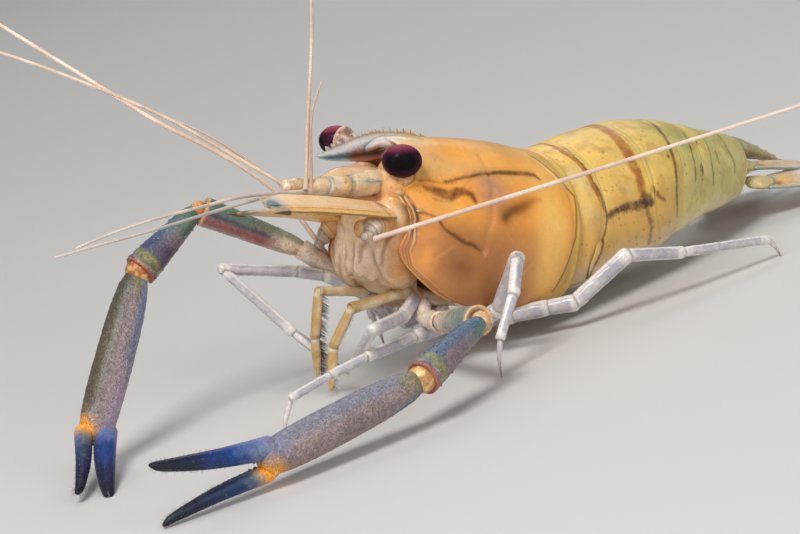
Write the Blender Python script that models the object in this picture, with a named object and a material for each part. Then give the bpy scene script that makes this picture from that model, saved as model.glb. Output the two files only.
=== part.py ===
"""Long-armed freshwater shrimp (Macrobrachium), a still life-size model.

Millimetres in the tables below, converted to metres when a mesh is made.
The design frame has its origin midway between the eyes: +X is the animal's
left, +Y runs back towards the tail and +Z is up from the floor.  The head
and the carapace are described in a body frame that is pitched head-up by
BODY_PITCH about X.  OFFSET moves everything so that the finished model
stands on z = 0 with its bounding box centred on the origin.
"""
import bpy
import bmesh
import math
from mathutils import Vector

MM = 0.001
FLOOR = -17.4                 # floor level below the eyes
OFFSET = Vector((8.0092, -7.4069, 17.4))
BODY_PITCH = math.radians(18.0)

for old in list(bpy.data.objects):
    bpy.data.objects.remove(old, do_unlink=True)

shrimp = bpy.data.collections.new("shrimp")
bpy.context.scene.collection.children.link(shrimp)
origin = bpy.data.objects.new("shrimp_origin", None)
shrimp.objects.link(origin)


# ---------------------------------------------------------------- helpers
def body(x, y, z):
    """A point of the pitched body frame in the design frame."""
    c, s = math.cos(BODY_PITCH), math.sin(BODY_PITCH)
    return Vector((x, y * c + z * s, -y * s + z * c))


def smooth(keys, x):
    """Monotone cubic curve through (x, value) pairs."""
    if x <= keys[0][0]:
        return keys[0][1]
    if x >= keys[-1][0]:
        return keys[-1][1]
    n = len(keys)
    d = [(keys[i + 1][1] - keys[i][1]) / (keys[i + 1][0] - keys[i][0]) for i in range(n - 1)]
    m = [d[0]] + [0.0 if d[i - 1] * d[i] <= 0 else 2 * d[i - 1] * d[i] / (d[i - 1] + d[i])
                  for i in range(1, n - 1)] + [d[-1]]
    for i in range(n - 1):
        x0, y0 = keys[i]
        x1, y1 = keys[i + 1]
        if x <= x1:
            h = x1 - x0
            t = (x - x0) / h
            return ((2 * t ** 3 - 3 * t ** 2 + 1) * y0 + (t ** 3 - 2 * t ** 2 + t) * h * m[i]
                    + (-2 * t ** 3 + 3 * t ** 2) * y1 + (t ** 3 - t ** 2) * h * m[i + 1])


def material(name, colour, roughness=0.35):
    mat = bpy.data.materials.new(name)
    mat.use_nodes = True
    shader = mat.node_tree.nodes["Principled BSDF"]
    shader.inputs["Base Color"].default_value = (*colour, 1.0)
    shader.inputs["Roughness"].default_value = roughness
    shader.inputs["Metallic"].default_value = 0.0
    return mat


def place(name, data, colour, roughness=0.35):
    obj = bpy.data.objects.new(name, data)
    shrimp.objects.link(obj)
    obj.parent = origin
    data.materials.append(material(name + "_finish", colour, roughness))
    return obj


def metres(p):
    return (Vector(p) + OFFSET) * MM


def bm_loft(bm, rings, hub0=None, filled=False):
    """Closed body through rings of equal count.  Each end is a fan round its
    middle, or a triangulated face where the ring isn't convex."""
    rows = [[bm.verts.new(metres(p)) for p in ring] for ring in rings]
    n = len(rows[0])
    for a, b in zip(rows, rows[1:]):
        for i in range(n):
            bm.faces.new((a[i], a[(i + 1) % n], b[(i + 1) % n], b[i]))
    for row, ring in ((rows[0], rings[0]), (rows[-1], rings[-1])):
        if filled and not (hub0 is not None and row is rows[0]):
            bmesh.ops.triangulate(bm, faces=[bm.faces.new(row)], ngon_method="EAR_CLIP")
            continue
        mid = sum((Vector(p) for p in ring), Vector()) / n
        if hub0 is not None and row is rows[0]:
            mid = hub0
        hub = bm.verts.new(metres(mid))
        for i in range(n):
            bm.faces.new((row[i], row[(i + 1) % n], hub))


def mesh_from(bm, name):
    bmesh.ops.recalc_face_normals(bm, faces=bm.faces)
    mesh = bpy.data.meshes.new(name)
    bm.to_mesh(mesh)
    bm.free()
    if mesh_volume(mesh) < 0:
        mesh.flip_normals()
    return mesh


def mesh_volume(mesh):
    mesh.calc_loop_triangles()
    v = mesh.vertices
    return sum(v[a].co.dot(v[b].co.cross(v[c].co)) for a, b, c in (t.vertices for t in mesh.loop_triangles))


def loft(name, rings, colour, roughness=0.35, hub0=None, filled=False):
    bm = bmesh.new()
    bm_loft(bm, rings, hub0, filled)
    return place(name, mesh_from(bm, name), colour, roughness)


def ring(centre, axis, side, a, b, count=8):
    """Ellipse about centre, square to axis: a along side, b across it."""
    axis = axis.normalized()
    side = (side - axis * side.dot(axis)).normalized()
    up = axis.cross(side)
    return [centre + side * (a * math.cos(t)) + up * (b * math.sin(t))
            for t in (2 * math.pi * i / count for i in range(count))]


def direction(azimuth, elevation):
    """Unit vector: azimuth turns from forward (-Y) to the animal's left."""
    a, e = math.radians(azimuth), math.radians(elevation)
    return Vector((math.sin(a) * math.cos(e), -math.cos(a) * math.cos(e), math.sin(e)))


def walk(root, segments):
    """Joint points of a limb from its root and (length, azimuth, elevation)."""
    points = [Vector(root)]
    for length, azimuth, elevation in segments:
        points.append(points[-1] + direction(azimuth, elevation) * length)
    return points


def limb_rings(points, radii, flat=1.0, side=Vector((0, 0, 1)), count=7, tip=0.28):
    """Rings of a jointed limb: each segment widens before its far joint."""
    rings = []
    last = len(points) - 2
    for k in range(last + 1):
        p, q = points[k], points[k + 1]
        axis = (q - p).normalized()
        length = (q - p).length
        r0, r1 = radii[k]
        near = 0.0
        if k:
            bend = (p - points[k - 1]).angle(axis)
            near = min(0.42, max(0.1, 1.15 * r0 * math.tan(bend / 2) / length))
        far = 1.0
        if k < last:
            bend = axis.angle(points[k + 2] - q)
            far = 1 - min(0.42, max(0.1, 1.15 * r1 * math.tan(bend / 2) / length))
        stops = [(near if k else 0.0, r0 * (0.86 if k else 1.0)), (near + (far - near) * 0.3, (r0 + r1) / 2), (far, r1)]
        if k == last:
            stops = [(near, r0 * 0.86), (near + (1 - near) * 0.35, r0), (0.72, (r0 + r1) / 2), (1.0, max(r1, tip))]
        for t, r in stops:
            rings.append(ring(p.lerp(q, t), axis, side, r, r * flat, count))
        if k < last:
            mid = (axis + (points[k + 2] - q).normalized())
            rings.append(ring(q, mid, side, r1 * 0.9, r1 * 0.9 * flat, count))
    return rings


def limb(name, root, segments, radii, colour, flat=1.0, count=7, side=Vector((0, 0, 1))):
    return loft(name, limb_rings(walk(root, segments), radii, flat, side, count), colour)


def feeler(name, points, radius, tip, colour, sides=1):
    """A whip as a curve with a bevel that thins towards its tip."""
    curve = bpy.data.curves.new(name, "CURVE")
    curve.dimensions = "3D"
    curve.bevel_depth = MM
    curve.bevel_resolution = sides
    curve.use_fill_caps = True
    spline = curve.splines.new("POLY")
    spline.points.add(len(points) - 1)
    for i, p in enumerate(points):
        spline.points[i].co = (*metres(p), 1.0)
        spline.points[i].radius = radius + (tip - radius) * i / (len(points) - 1)
    return place(name, curve, colour)


def sweep(root, pieces, step=2.2):
    """Points along a whip: pieces are (length, azimuth, elevation at its end)."""
    points = [Vector(root)]
    _, az, el = pieces[0]
    for length, az1, el1 in pieces:
        count = max(1, round(length / step))
        for i in range(count):
            t = (i + 0.5) / count
            points.append(points[-1] + direction(az + (az1 - az) * t, el + (el1 - el) * t) * (length / count))
        az, el = az1, el1
    return points


def solid_object(name, source):
    """A mesh copy of an object, welded, for use in a Boolean."""
    depsgraph = bpy.context.evaluated_depsgraph_get()
    mesh = bpy.data.meshes.new_from_object(source.evaluated_get(depsgraph))
    bm = bmesh.new()
    bm.from_mesh(mesh)
    bmesh.ops.remove_doubles(bm, verts=bm.verts, dist=1e-7)
    bmesh.ops.recalc_face_normals(bm, faces=bm.faces)
    bm.to_mesh(mesh)
    bm.free()
    return mesh


def union(target, *others):
    """Joins helper objects to target with an exact Boolean, then drops them."""
    for other in others:
        mod = target.modifiers.new("join", "BOOLEAN")
        mod.operation = "UNION"
        mod.solver = "EXACT"
        mod.object = other
        bpy.context.view_layer.update()
        mesh = solid_object(target.name, target)
        target.modifiers.clear()
        old = target.data
        target.data = mesh
        target.data.name = target.name
        bpy.data.meshes.remove(old)
        bpy.data.objects.remove(other, do_unlink=True)
    return target


# ---------------------------------------------------------------- colours
AMBER = (0.80, 0.48, 0.20)
OLIVE = (0.66, 0.55, 0.27)
GLASS = (0.62, 0.64, 0.68)
CREAM = (0.78, 0.66, 0.50)
PINK = (0.80, 0.66, 0.58)
EYE = (0.07, 0.02, 0.05)
NAVY = (0.06, 0.10, 0.30)
MAUVE = (0.36, 0.33, 0.40)
TEAL = (0.22, 0.33, 0.36)

# --------------------------------------------------------------- carapace
# Profiles along the body axis (body frame y): ridge height, half width,
# level of the widest point, level and half width of the lower margin.
TOP = [(-0.6, 0.5), (1, 0.95), (3, 1.1), (5, 1.15), (8, 1.12), (11, 0.95), (14, 0.5), (16, 0.3)]
WIDE = [(-0.6, 4.3), (1, 4.8), (3, 5.35), (5, 5.85), (8, 6.35), (11, 6.6), (14, 6.6), (16, 6.35)]
WAIST = [(-0.6, -5.3), (1, -5.6), (3, -6.1), (5, -6.4), (8, -6.5), (11, -6.4), (14, -6.1), (16, -5.9)]
HEM = [(-0.6, -9.6), (1.6, -10.8), (4.1, -11.5), (6, -11.9), (9, -12.1), (12, -11.9), (14.8, -11.4), (16, -11.2)]
HEM_X = [(-0.6, 3.9), (1.6, 4.3), (5, 4.6), (9, 4.7), (16, 4.8)]
# Front and hind edges as body y against v, 0 at the ridge to 1 at the hem.
FRONT = [(0, 0.9), (0.1, 1.2), (0.25, 1.4), (0.33, 0.95), (0.4, -0.65), (0.45, 0.0), (0.5, 0.25),
         (0.62, -0.4), (0.68, -0.65), (0.76, -0.2), (0.85, 1.5), (0.93, 3.0), (1, 5.0)]
HIND = [(0, 15.8), (0.5, 15.9), (0.7, 15.6), (0.85, 15.0), (1, 13.8)]
V_STOPS = [0, 0.08, 0.17, 0.26, 0.34, 0.4, 0.46, 0.54, 0.62, 0.7, 0.78, 0.86, 0.93, 1.0]
U_STOPS = [0, 0.07, 0.17, 0.3, 0.44, 0.58, 0.72, 0.86, 1.0]


def shell_point(y, v, inset=0.0):
    top, wide, waist = smooth(TOP, y), smooth(WIDE, y), smooth(WAIST, y)
    hem, hem_x = smooth(HEM, y), smooth(HEM_X, y)
    if v < 0.5:
        f = v * math.pi
        x, z = wide * math.sin(f), waist + (top - waist) * math.cos(f)
    else:
        f = (v - 0.5) * math.pi
        x, z = hem_x + (wide - hem_x) * math.cos(f), waist - (waist - hem) * math.sin(f)
    return x, y, z


def carapace_ring(u):
    left = []
    for v in V_STOPS:
        y = smooth(FRONT, v) * (1 - u) + smooth(HIND, v) * u
        left.append(shell_point(y, v))
    x, y, z = left[-1]
    under = [(x - 0.7, y, z + 0.5), (3.6, y, z + 1.3), (1.5, y, z + 1.3)]
    half = left + under
    pts = [body(*p) for p in half]
    pts += [body(-x, y, z) for x, y, z in reversed(half[1:])]
    return pts


# the front end is dished, for the head sits in it
carapace = loft("carapace", [carapace_ring(u) for u in U_STOPS], AMBER, 0.3, body(0, 3.9, -5.6), True)

# Rostrum: a thin saw-toothed blade in the mid plane.  Its rear crest is one
# with the carapace; the free part ahead of the orbits is cut off from it.
TOOTH_Y = [5.2, 4.2, 3.5, 2.85, 2.15, 1.45, 0.7, 0.05, -0.65, -1.45, -2.35, -3.0, -3.6, -4.15]
CREST = [(-5.4, -0.52), (-4.6, -0.22), (-3.5, 0.28), (-2, 0.88), (-0.5, 1.32), (1, 1.5), (3, 1.42), (5, 1.18), (6.2, 1.08)]
KEEL = [(-5.4, -0.52), (-4.6, -0.80), (-3.2, -0.92), (-1.5, -0.9), (0, -0.78), (1, -0.6), (1.3, -0.2)]
BLADE_HALF = 0.27


def blade(name, y0, y1, low, colour):
    """Toothed plate between body y0 (front) and y1 (rear)."""
    upper = []
    for tooth in sorted(TOOTH_Y):
        if y0 + 0.25 < tooth < y1 - 0.5:
            upper.append((tooth - 0.05, smooth(CREST, tooth) + 0.36))
            upper.append((tooth + 0.42, smooth(CREST, tooth + 0.42) + 0.0))
    outline = [(y0, smooth(CREST, y0))] + upper + [(y1, smooth(CREST, y1))]
    steps = 7
    outline += [(y1 + (y0 - y1) * i / steps, low(y1 + (y0 - y1) * i / steps)) for i in range(steps + (0 if y0 < -5 else 1))]
    bm = bmesh.new()
    sides = [[bm.verts.new(metres(body(x, y, z))) for y, z in outline] for x in (-BLADE_HALF, BLADE_HALF)]
    bm.faces.new(sides[0])
    bm.faces.new(list(reversed(sides[1])))
    n = len(outline)
    for i in range(n):
        bm.faces.new((sides[0][(i + 1) % n], sides[0][i], sides[1][i], sides[1][(i + 1) % n]))
    bmesh.ops.triangulate(bm, faces=[f for f in bm.faces if len(f.verts) > 4])
    return place(name, mesh_from(bm, name), colour)


crest = blade("crest_helper", 0.95, 6.1, lambda y: 0.3, AMBER)
union(carapace, crest)
blade("rostrum", -5.4, 0.55, lambda y: smooth(KEEL, y), (0.50, 0.48, 0.47))

# ------------------------------------------------------------------- eyes
EYE_CENTRE = {"L": (3.92, -0.12, -0.92), "R": (-4.0, 0.0, 0.82)}
EYE_RADII = (1.44, 1.52, 1.26)
SIGN = {"L": 1, "R": -1}
for s, c in EYE_CENTRE.items():
    bm = bmesh.new()
    bmesh.ops.create_uvsphere(bm, u_segments=13, v_segments=7, radius=1.0)
    for v in bm.verts:
        v.co = metres(body(c[0] + v.co.z * SIGN[s] * EYE_RADII[0], c[1] + v.co.x * EYE_RADII[1], c[2] + v.co.y * EYE_RADII[2]))
    place("eye_" + s, mesh_from(bm, "eye_" + s), EYE, 0.12)
    root = body(SIGN[s] * 0.85, 0.25, -0.25 + 0.35 * c[2])
    end = body(*c)
    along = (end - root).normalized()
    stops = [(0.0, 0.5), (0.25, 0.62), (0.6, 0.85)]
    span = (end - root).length - EYE_RADII[0] - 0.32
    loft("eyestalk_" + s, [ring(root + along * (span * t / 0.6), along, Vector((0, 0, 1)), r, r, 10) for t, r in stops],
         (0.62, 0.52, 0.44))

# ------------------------------------------------- antennules and antennae
for s, k in SIGN.items():
    foot = body(k * 1.25, -0.55, -2.4)
    joints = [foot, body(k * 1.5, -3.4, -2.75), body(k * 1.55, -5.3, -2.85), body(k * 1.5, -6.9, -2.85)]
    loft("antennule_stalk_" + s, limb_rings(joints, [(0.95, 0.9), (0.72, 0.7), (0.62, 0.6)], 1.05, Vector((1, 0, 0)), 7), CREAM)

ANTENNULE_OUTER = {
    "L": ((1.6, -7.95, -0.15), [(4.0, 168, 72), (3.6, 158, 72), (6.2, 142, 78), (6.0, 168, 66), (6.0, 178, 48)]),
    "R": ((-1.65, -7.85, -0.1), [(7.6, -27, 45), (5.0, -31, 38), (4.2, -38, 36), (7.0, -45, 31), (7.0, -64, 20)]),
}
ANTENNULE_INNER = {
    "L": ((1.25, -8.35, -0.75), [(3.5, 0, 14), (3.9, -3, 5), (3.9, -6, 5), (4.5, -10, 0), (4.0, -12, -6)]),
    "R": ((-1.1, -8.35, -0.75), [(4.4, -3, 4), (3.0, -4, 3), (3.8, -7, 3), (3.6, -8, 4), (5.0, -16, 2)]),
}
for s in SIGN:
    root, pieces = ANTENNULE_OUTER[s]
    whip = feeler("antennule_outer_" + s, sweep(root, pieces), 0.34, 0.26, PINK)
    root, pieces = ANTENNULE_INNER[s]
    feeler("antennule_inner_" + s, sweep(root, pieces), 0.29, 0.26, PINK)

# Antenna: a round base joint, a knob that carries the long whip, and a flat
# scale with a straight thick outer edge.
ANTENNA_WHIP = {
    "L": ((4.85, -4.15, -5.45), [(5.0, 158, 0), (30.5, 163, -0.6), (12.0, 158, -5), (10.0, 150, -8)]),
    "R": ((-4.98, -3.0, -6.7), [(3.1, -41, 68), (3.3, -10, 50), (7.6, -30, 41), (4.7, -56, 44), (4.8, -62, 41), (7.1, -66, 40), (14.0, -86, 24), (12.0, -104, 6)]),
}
for s, k in SIGN.items():
    if s == "L":
        joints = [body(3.75, -1.25, -5.3), body(4.15, -2.8, -5.9), body(4.15, -4.0, -6.5)]
    else:
        joints = [body(-3.7, -1.25, -5.3), body(-3.9, -1.6, -6.4), body(-4.1, -1.3, -7.4)]
    radii = [(0.8, 0.95), (0.85, 0.6)] if s == "L" else [(0.8, 0.85), (0.75, 0.6)]
    loft("antenna_stalk_" + s, limb_rings(joints, radii, 1.0, Vector((1, 0, 0)), 7), CREAM)
    root, pieces = ANTENNA_WHIP[s]
    feeler("antenna_whip_" + s, sweep(root, pieces, 2.6), 0.36, 0.26, PINK)


def plate_rings(base, along, across, length, widths, thick, lift=0.0, steps=7):
    """A leaf: widths gives (t, inner half, outer half) along its length."""
    normal = along.cross(across).normalized()
    rings = []
    for i in range(steps + 1):
        t = i / steps
        inner, outer = smooth([(a, b) for a, b, _ in widths], t), smooth([(a, c) for a, _, c in widths], t)
        h = thick / 2
        centre = base + along * (length * t) + normal * (lift * math.sin(math.pi * t))
        mid = (outer - inner) / 2
        half = (outer + inner) / 2
        c = centre + across * mid
        rings.append([c - across * half, c - across * (half * 0.55) - normal * h, c + across * (half * 0.55) - normal * h,
                      c + across * half, c + across * (half * 0.55) + normal * h, c - across * (half * 0.55) + normal * h])
    return rings


SCALE_WIDTHS = [(0.0, 0.55, 0.6), (0.15, 1.35, 0.95), (0.45, 1.9, 1.1), (0.75, 1.75, 0.98), (0.92, 1.1, 0.8), (1.0, 0.35, 0.3)]
for s, k in SIGN.items():
    base = body(k * 3.5, -1.6, -4.22 if s == "L" else -4.85)
    turn = 4 if s == "L" else 9
    along = body(math.sin(math.radians(turn)), -math.cos(math.radians(turn)), 0.02 if s == "L" else -0.03).normalized()
    tilted = body(k * 1.0, 0, -0.26 if s == "L" else -0.1)
    across = (tilted - along * tilted.dot(along)).normalized()
    loft("antennal_scale_" + s, plate_rings(base, along, across, 12.2 if s == "L" else 10.4, SCALE_WIDTHS, 0.5, 0.15), (0.80, 0.62, 0.42))

# ------------------------------- head: the block that carries the feelers
HEAD = [(-0.15, 1.6, 1.3), (0.2, 2.35, 2.0), (0.9, 2.5, 2.15), (1.7, 1.9, 1.6), (2.3, 1.1, 0.9)]
loft("head", [ring(body(0, y, -3.9), body(0, 1, 0), Vector((1, 0, 0)), a, b, 12) for y, a, b in HEAD], (0.78, 0.60, 0.40))

# -------------------------------------------- mouth region and third jaws
MOUTH = [(-1.9, 0.5, 0.45, -8.3), (-1.4, 1.6, 1.3, -8.3), (-0.4, 2.3, 2.0, -8.35), (0.8, 2.55, 1.7, -8.9), (2.0, 2.3, 1.1, -9.75)]
loft("mouthparts", [ring(body(0, y, z), body(0, 1, 0), Vector((1, 0, 0)), a, b, 12) for y, a, b, z in MOUTH], (0.82, 0.74, 0.62))

LIMB_LIGHT = (0.80, 0.70, 0.55)
JAW = {
    "L": ((1.6, -1.9, -10.85), [(4.9, 1, 5), (3.2, -33, -51), (3.3, -17, -72)]),
    "R": ((-1.45, -3.4, -10.2), [(4.1, 5.8, 18.3), (3.56, -39.8, -72.1), (3.1, -75, -77.5)]),
}
for s, (root, pieces) in JAW.items():
    limb("maxilliped_" + s, root, pieces, [(0.42, 0.46), (0.43, 0.44), (0.42, 0.28)], LIMB_LIGHT, 0.85, 7)

# ----------------------------------------------------------------- sternum
# The narrow floor of the thorax between the leg bases.
loft("sternum", [ring(body(0, y, smooth(HEM, max(y, 4.4)) + 0.62), body(0, 1, 0), Vector((1, 0, 0)), a, 0.42, 10)
                 for y, a in [(3.4, 0.6), (4.6, 1.5), (7, 1.9), (10, 2.1), (12.6, 1.7), (13.4, 0.8)]], CREAM)

# --------------------------------------------------------------- leg pair 1
LEG1 = {
    "L": ((2.2, -1.35, -11.75), [(2.2, 26, -12), (5.4, 24, 6), (5.0, -104, -34)], (2.8, -92, -24)),
    "R": ((-1.55, -2.1, -11.2), [(4.0, -47.6, 38.8), (2.02, -49.7, 21.2), (6.16, -22, 18.6), (7.2, 118, -52)], (5.4, 142, -52)),
}
LEG1_RADII = {"L": [(0.5, 0.45), (0.43, 0.4), (0.34, 0.38)], "R": [(0.4, 0.4), (0.42, 0.42), (0.43, 0.38), (0.33, 0.36)]}


def little_claw(name, root, along, length, colour, count=7):
    """Palm and fixed finger in one loft, the other finger joined to them."""
    out = along.cross(Vector((0, 0, 1))).normalized()
    palm = [(0.0, 0.0, 0.34), (0.15, 0.0, 0.42), (0.5, 0.0, 0.44), (0.58, 0.16, 0.3), (0.8, 0.2, 0.26), (1.0, 0.08, 0.25)]
    fixed = loft(name, [ring(root + along * (length * t) + out * o, along, out, r, r * 0.9, count) for t, o, r in palm], colour)
    other = [(0.46, -0.16, 0.2), (0.55, -0.26, 0.25), (0.8, -0.34, 0.25), (1.0, -0.2, 0.25)]
    return fixed, loft(name + "_finger", [ring(root + along * (length * t) + out * o * 1.35, along, out, r, r * 0.9, count) for t, o, r in other], colour)


for s, (root, pieces, claw) in LEG1.items():
    joints = walk(root, pieces)
    leg = limb("leg1_" + s, root, pieces, LEG1_RADII[s], GLASS, 1.0, 7)
    length, az, el = claw
    along = direction(az, el)
    palm, finger = little_claw("leg1_claw_helper_" + s, joints[-1] - along * 0.12, along, length, GLASS)
    union(leg, palm, finger)

# --------------------------------------------------- leg pair 2, the long arms
ARM = {
    "L": ((2.75, -0.8, -12.35), [(0.9, 30, -42), (3.1, 73, 0), (8.0, 73, 7), (8.2, 9, -13), (13.3, -10, -6)]),
    "R": ((-3.27, -0.55, -12.2), [(1.2, -5, 50), (2.2, -5, 55), (4.14, -51.3, 46.6), (8.7, -33, 36), (7.0, -9, -27), (12.9, 8, -50)]),
}
GAP = 0.34


def trimmed(p, q, near, far):
    axis = (q - p).normalized()
    return p + axis * near, q - axis * far


def segment(name, p, q, profile, colour, side, count=11, flat=0.92):
    axis = (q - p).normalized()
    return loft(name, [ring(p.lerp(q, t), axis, side, r, r * flat, count) for t, r in profile], colour)


MERUS = [(0.0, 0.62), (0.1, 0.8), (0.35, 0.98), (0.7, 1.08), (0.92, 1.12), (1.0, 0.95)]
CARPUS = [(0.0, 0.7), (0.1, 0.9), (0.4, 1.05), (0.75, 1.28), (0.93, 1.32), (1.0, 1.12)]
PALM = [(0.0, 0.95), (0.06, 1.2), (0.3, 1.42), (0.65, 1.5), (0.9, 1.42), (1.0, 1.25)]
# each finger: length, azimuth, elevation, offset of its root across the palm
FINGERS = {"L": ((9.41, -6, 11.5), (8.9, -16, -6), 0.77), "R": ((8.8, 50, -19), (8.5, 46, -19), 0.8)}
for s, (root, pieces) in ARM.items():
    j = walk(root, pieces)
    up = Vector((0, 0, 1))
    b = len(j) - 4                      # the joint where the merus starts
    thin = [(0.34, 0.42), (0.46, 0.58), (0.64, 0.78)][-b:]
    base = limb_rings(j[:b + 1], thin, 1.0, up, 11)
    axis = (j[b + 1] - j[b]).normalized()
    p, q = trimmed(j[b], j[b + 1], 0.75, 0.55)
    arm = [ring(p.lerp(q, t), axis, up, r, r, 11) for t, r in MERUS[1:]]
    loft("cheliped_merus_" + s, base[:-1] + arm, TEAL if s == "R" else MAUVE)
    p, q = trimmed(j[b + 1], j[b + 2], GAP + 0.85, GAP)
    segment("cheliped_carpus_" + s, p, q, CARPUS, TEAL, up)
    p, q = trimmed(j[b + 2], j[b + 3], GAP + 0.25, 0.0)
    axis = (q - p).normalized()
    # fixed finger: an offset cone that grows from the palm's end
    (lf, azf, elf), (ld, azd, eld), off = FINGERS[s]
    fixed, moving = direction(azf, elf), direction(azd, eld)
    spread = Vector((0.05, 0.15, 1.0)) if s == "L" else Vector((0.35, 0.85, -0.35))
    spread = (spread - axis * spread.dot(axis)).normalized()
    rings = [ring(p.lerp(q, t), axis, spread, r, r * 0.92, 11) for t, r in PALM]
    for t, r, o in ((0.07, 0.78, 0.95), (0.2, 0.72, 1.0), (0.5, 0.6, 0.8), (0.85, 0.38, 0.3), (1.0, 0.25, 0.0)):
        facing = axis.lerp(fixed, min(1.0, t * 6)).normalized()
        rings.append(ring(q + spread * (off * o) + fixed * (lf * t), facing, spread, r, r * 0.92, 11))
    # where a finger reaches the floor its tip is lifted to a small flat on it
    lift = max(0.0, FLOOR - 0.05 - min(p.z for p in rings[-1]))
    rings[-1] = [Vector((p.x, p.y, max(p.z + lift, FLOOR))) for p in rings[-1]]
    loft("cheliped_palm_" + s, rings, MAUVE)
    foot = q - spread * (off + 0.12)
    stops = ((0.04 if s == "L" else 0.085, 0.6, 0.0), (0.13, 0.7, 0.02), (0.3, 0.66, 0.05), (0.6, 0.52, 0.06), (0.86, 0.36, 0.03), (1.0, 0.25, 0.0))
    loft("cheliped_finger_" + s, [ring(foot + moving * (ld * t) - spread * o, moving, spread, r, r * 0.92, 11) for t, r, o in stops], NAVY)

# ------------------------------------------------------------ walking legs
LEG = {
    ("3", "L"): ((2.75, 0.75, -13.5), [(1.1, 23, -44), (2.7, 4, 6), (5.3, 5, 2), (3.5, -5, -4), (3.9, -5, -7), (2.9, -9, -60)]),
    ("3", "R"): ((-2.75, 0.75, -13.35), [(1.1, -70, -46), (4.5, -110, 23), (2.5, -132, -53), (2.9, -149, -67)]),
    ("4", "L"): ((3.0, 3.3, -14.35), [(1.5, 64, -10), (2.3, 105, 20), (5.1, 98, 52), (3.1, 26, -43), (3.7, 9, -45), (2.7, 0, -72)]),
    ("4", "R"): ((-3.0, 3.3, -14.35), [(1.5, -64, -10), (2.3, -105, 20), (4.6, -112, 42), (3.2, -150, -40), (2.6, -165, -50), (1.9, -170, -70)]),
    ("5", "L"): ((3.1, 5.8, -15.35), [(1.4, 94, 6), (2.8, 139, -1), (2.2, 133, -2), (5.4, 147, 28), (5.0, 168, -15), (8.6, 173, -11), (1.8, 178, -58)]),
    ("5", "R"): ((-3.1, 5.8, -15.35), [(1.4, -94, 6), (2.8, -139, -1), (2.2, -133, -2), (5.4, -147, 28), (5.0, -168, -15), (8.0, -172, -11), (1.8, -176, -58)]),
}
THICK = {"3": [0.55, 0.5, 0.43, 0.34, 0.3, 0.27], "4": [0.6, 0.55, 0.55, 0.5, 0.38, 0.27], "5": [0.6, 0.55, 0.55, 0.58, 0.48, 0.36, 0.27]}
for (pair, s), (root, pieces) in LEG.items():
    thick = THICK[pair][-len(pieces):] if pair == "3" and s == "R" else THICK[pair]
    thick = thick + [0.25]
    joints = walk(root, pieces)
    # the claw is laid down until its small flat end rests on the floor
    tip = joints[-1]
    tip.z = FLOOR + 0.25
    radii = [(thick[i], 0.5 * (thick[i] + thick[i + 1])) for i in range(len(pieces))]
    rings = limb_rings(joints, radii, 1.0, Vector((0, 0, 1)), 7, 0.25)
    rings[-1] = [Vector((p.x, p.y, FLOOR)) for p in rings[-1]]
    loft("leg%s_%s" % (pair, s), rings, GLASS)

# ----------------------------------------------------------------- abdomen
# Stations at the seven edges of the six somites: ridge point, yaw and tilt of
# the edge's plane, half width, ridge-to-side and side-to-hem heights, hem half
# width.
T_RIDGE_X = [(0, 0), (3, 0), (4, -0.15), (5, -0.5), (6, -1.2)]
T_RIDGE_Y = [(0, 15.25), (1, 17.5), (2, 22.9), (3, 27.3), (4, 30.2), (5, 32.7), (6, 37.2)]
T_RIDGE_Z = [(0, -4.85), (1, -4.72), (2, -4.85), (3, -5.75), (4, -6.85), (5, -8.0), (6, -9.9)]
T_TILT = [(0, 17), (1, 15), (2, 15), (3, 22), (4, 29), (5, 33), (6, 30)]
T_YAW = [(0, 0), (3, 1), (4, 4), (5, 8), (6, 11)]
T_WIDE = [(0, 6.05), (1, 6.4), (2, 6.35), (3, 5.7), (4, 5.0), (5, 4.25), (6, 3.1)]
T_RISE = [(0, 6.0), (1, 6.1), (2, 6.0), (3, 5.3), (4, 4.75), (5, 4.15), (6, 3.3)]
T_DROP = [(0, 4.6), (1, 4.5), (2, 4.2), (3, 4.1), (4, 3.8), (5, 3.3), (6, 2.3)]
T_HEM_X = [(0, 4.3), (1, 4.9), (2, 4.7), (3, 4.2), (4, 3.7), (5, 3.1), (6, 2.0)]
# How far each edge leans back (+) at the side plates, against v.
LEAN = {
    0: [(0, 0), (1, 0)],
    1: [(0, 0), (0.5, 0.0), (0.62, -0.35), (0.8, -0.9), (1, -0.3)],
    2: [(0, 0), (0.5, 0.0), (0.62, 0.3), (0.82, 0.8), (1, 0.4)],
    3: [(0, 0), (0.5, 0), (0.75, 0.3), (1, 0)],
    4: [(0, 0), (0.5, 0), (0.75, 0.35), (1, 0.1)],
    5: [(0, 0), (0.5, 0.0), (0.75, 0.3), (1, 0.1)],
    6: [(0, 0), (1, 0)],
}
A_STOPS = [0, 0.09, 0.18, 0.27, 0.36, 0.45, 0.54, 0.64, 0.74, 0.84, 0.92, 1.0]


def abdomen_frame(t):
    yaw, tilt = math.radians(smooth(T_YAW, t)), math.radians(smooth(T_TILT, t))
    ridge = Vector((smooth(T_RIDGE_X, t), smooth(T_RIDGE_Y, t), smooth(T_RIDGE_Z, t)))
    along = Vector((-math.sin(yaw) * math.cos(tilt), math.cos(yaw) * math.cos(tilt), -math.sin(tilt)))
    left = Vector((math.cos(yaw), math.sin(yaw), 0))
    return ridge, along, left, left.cross(along).normalized()


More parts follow.
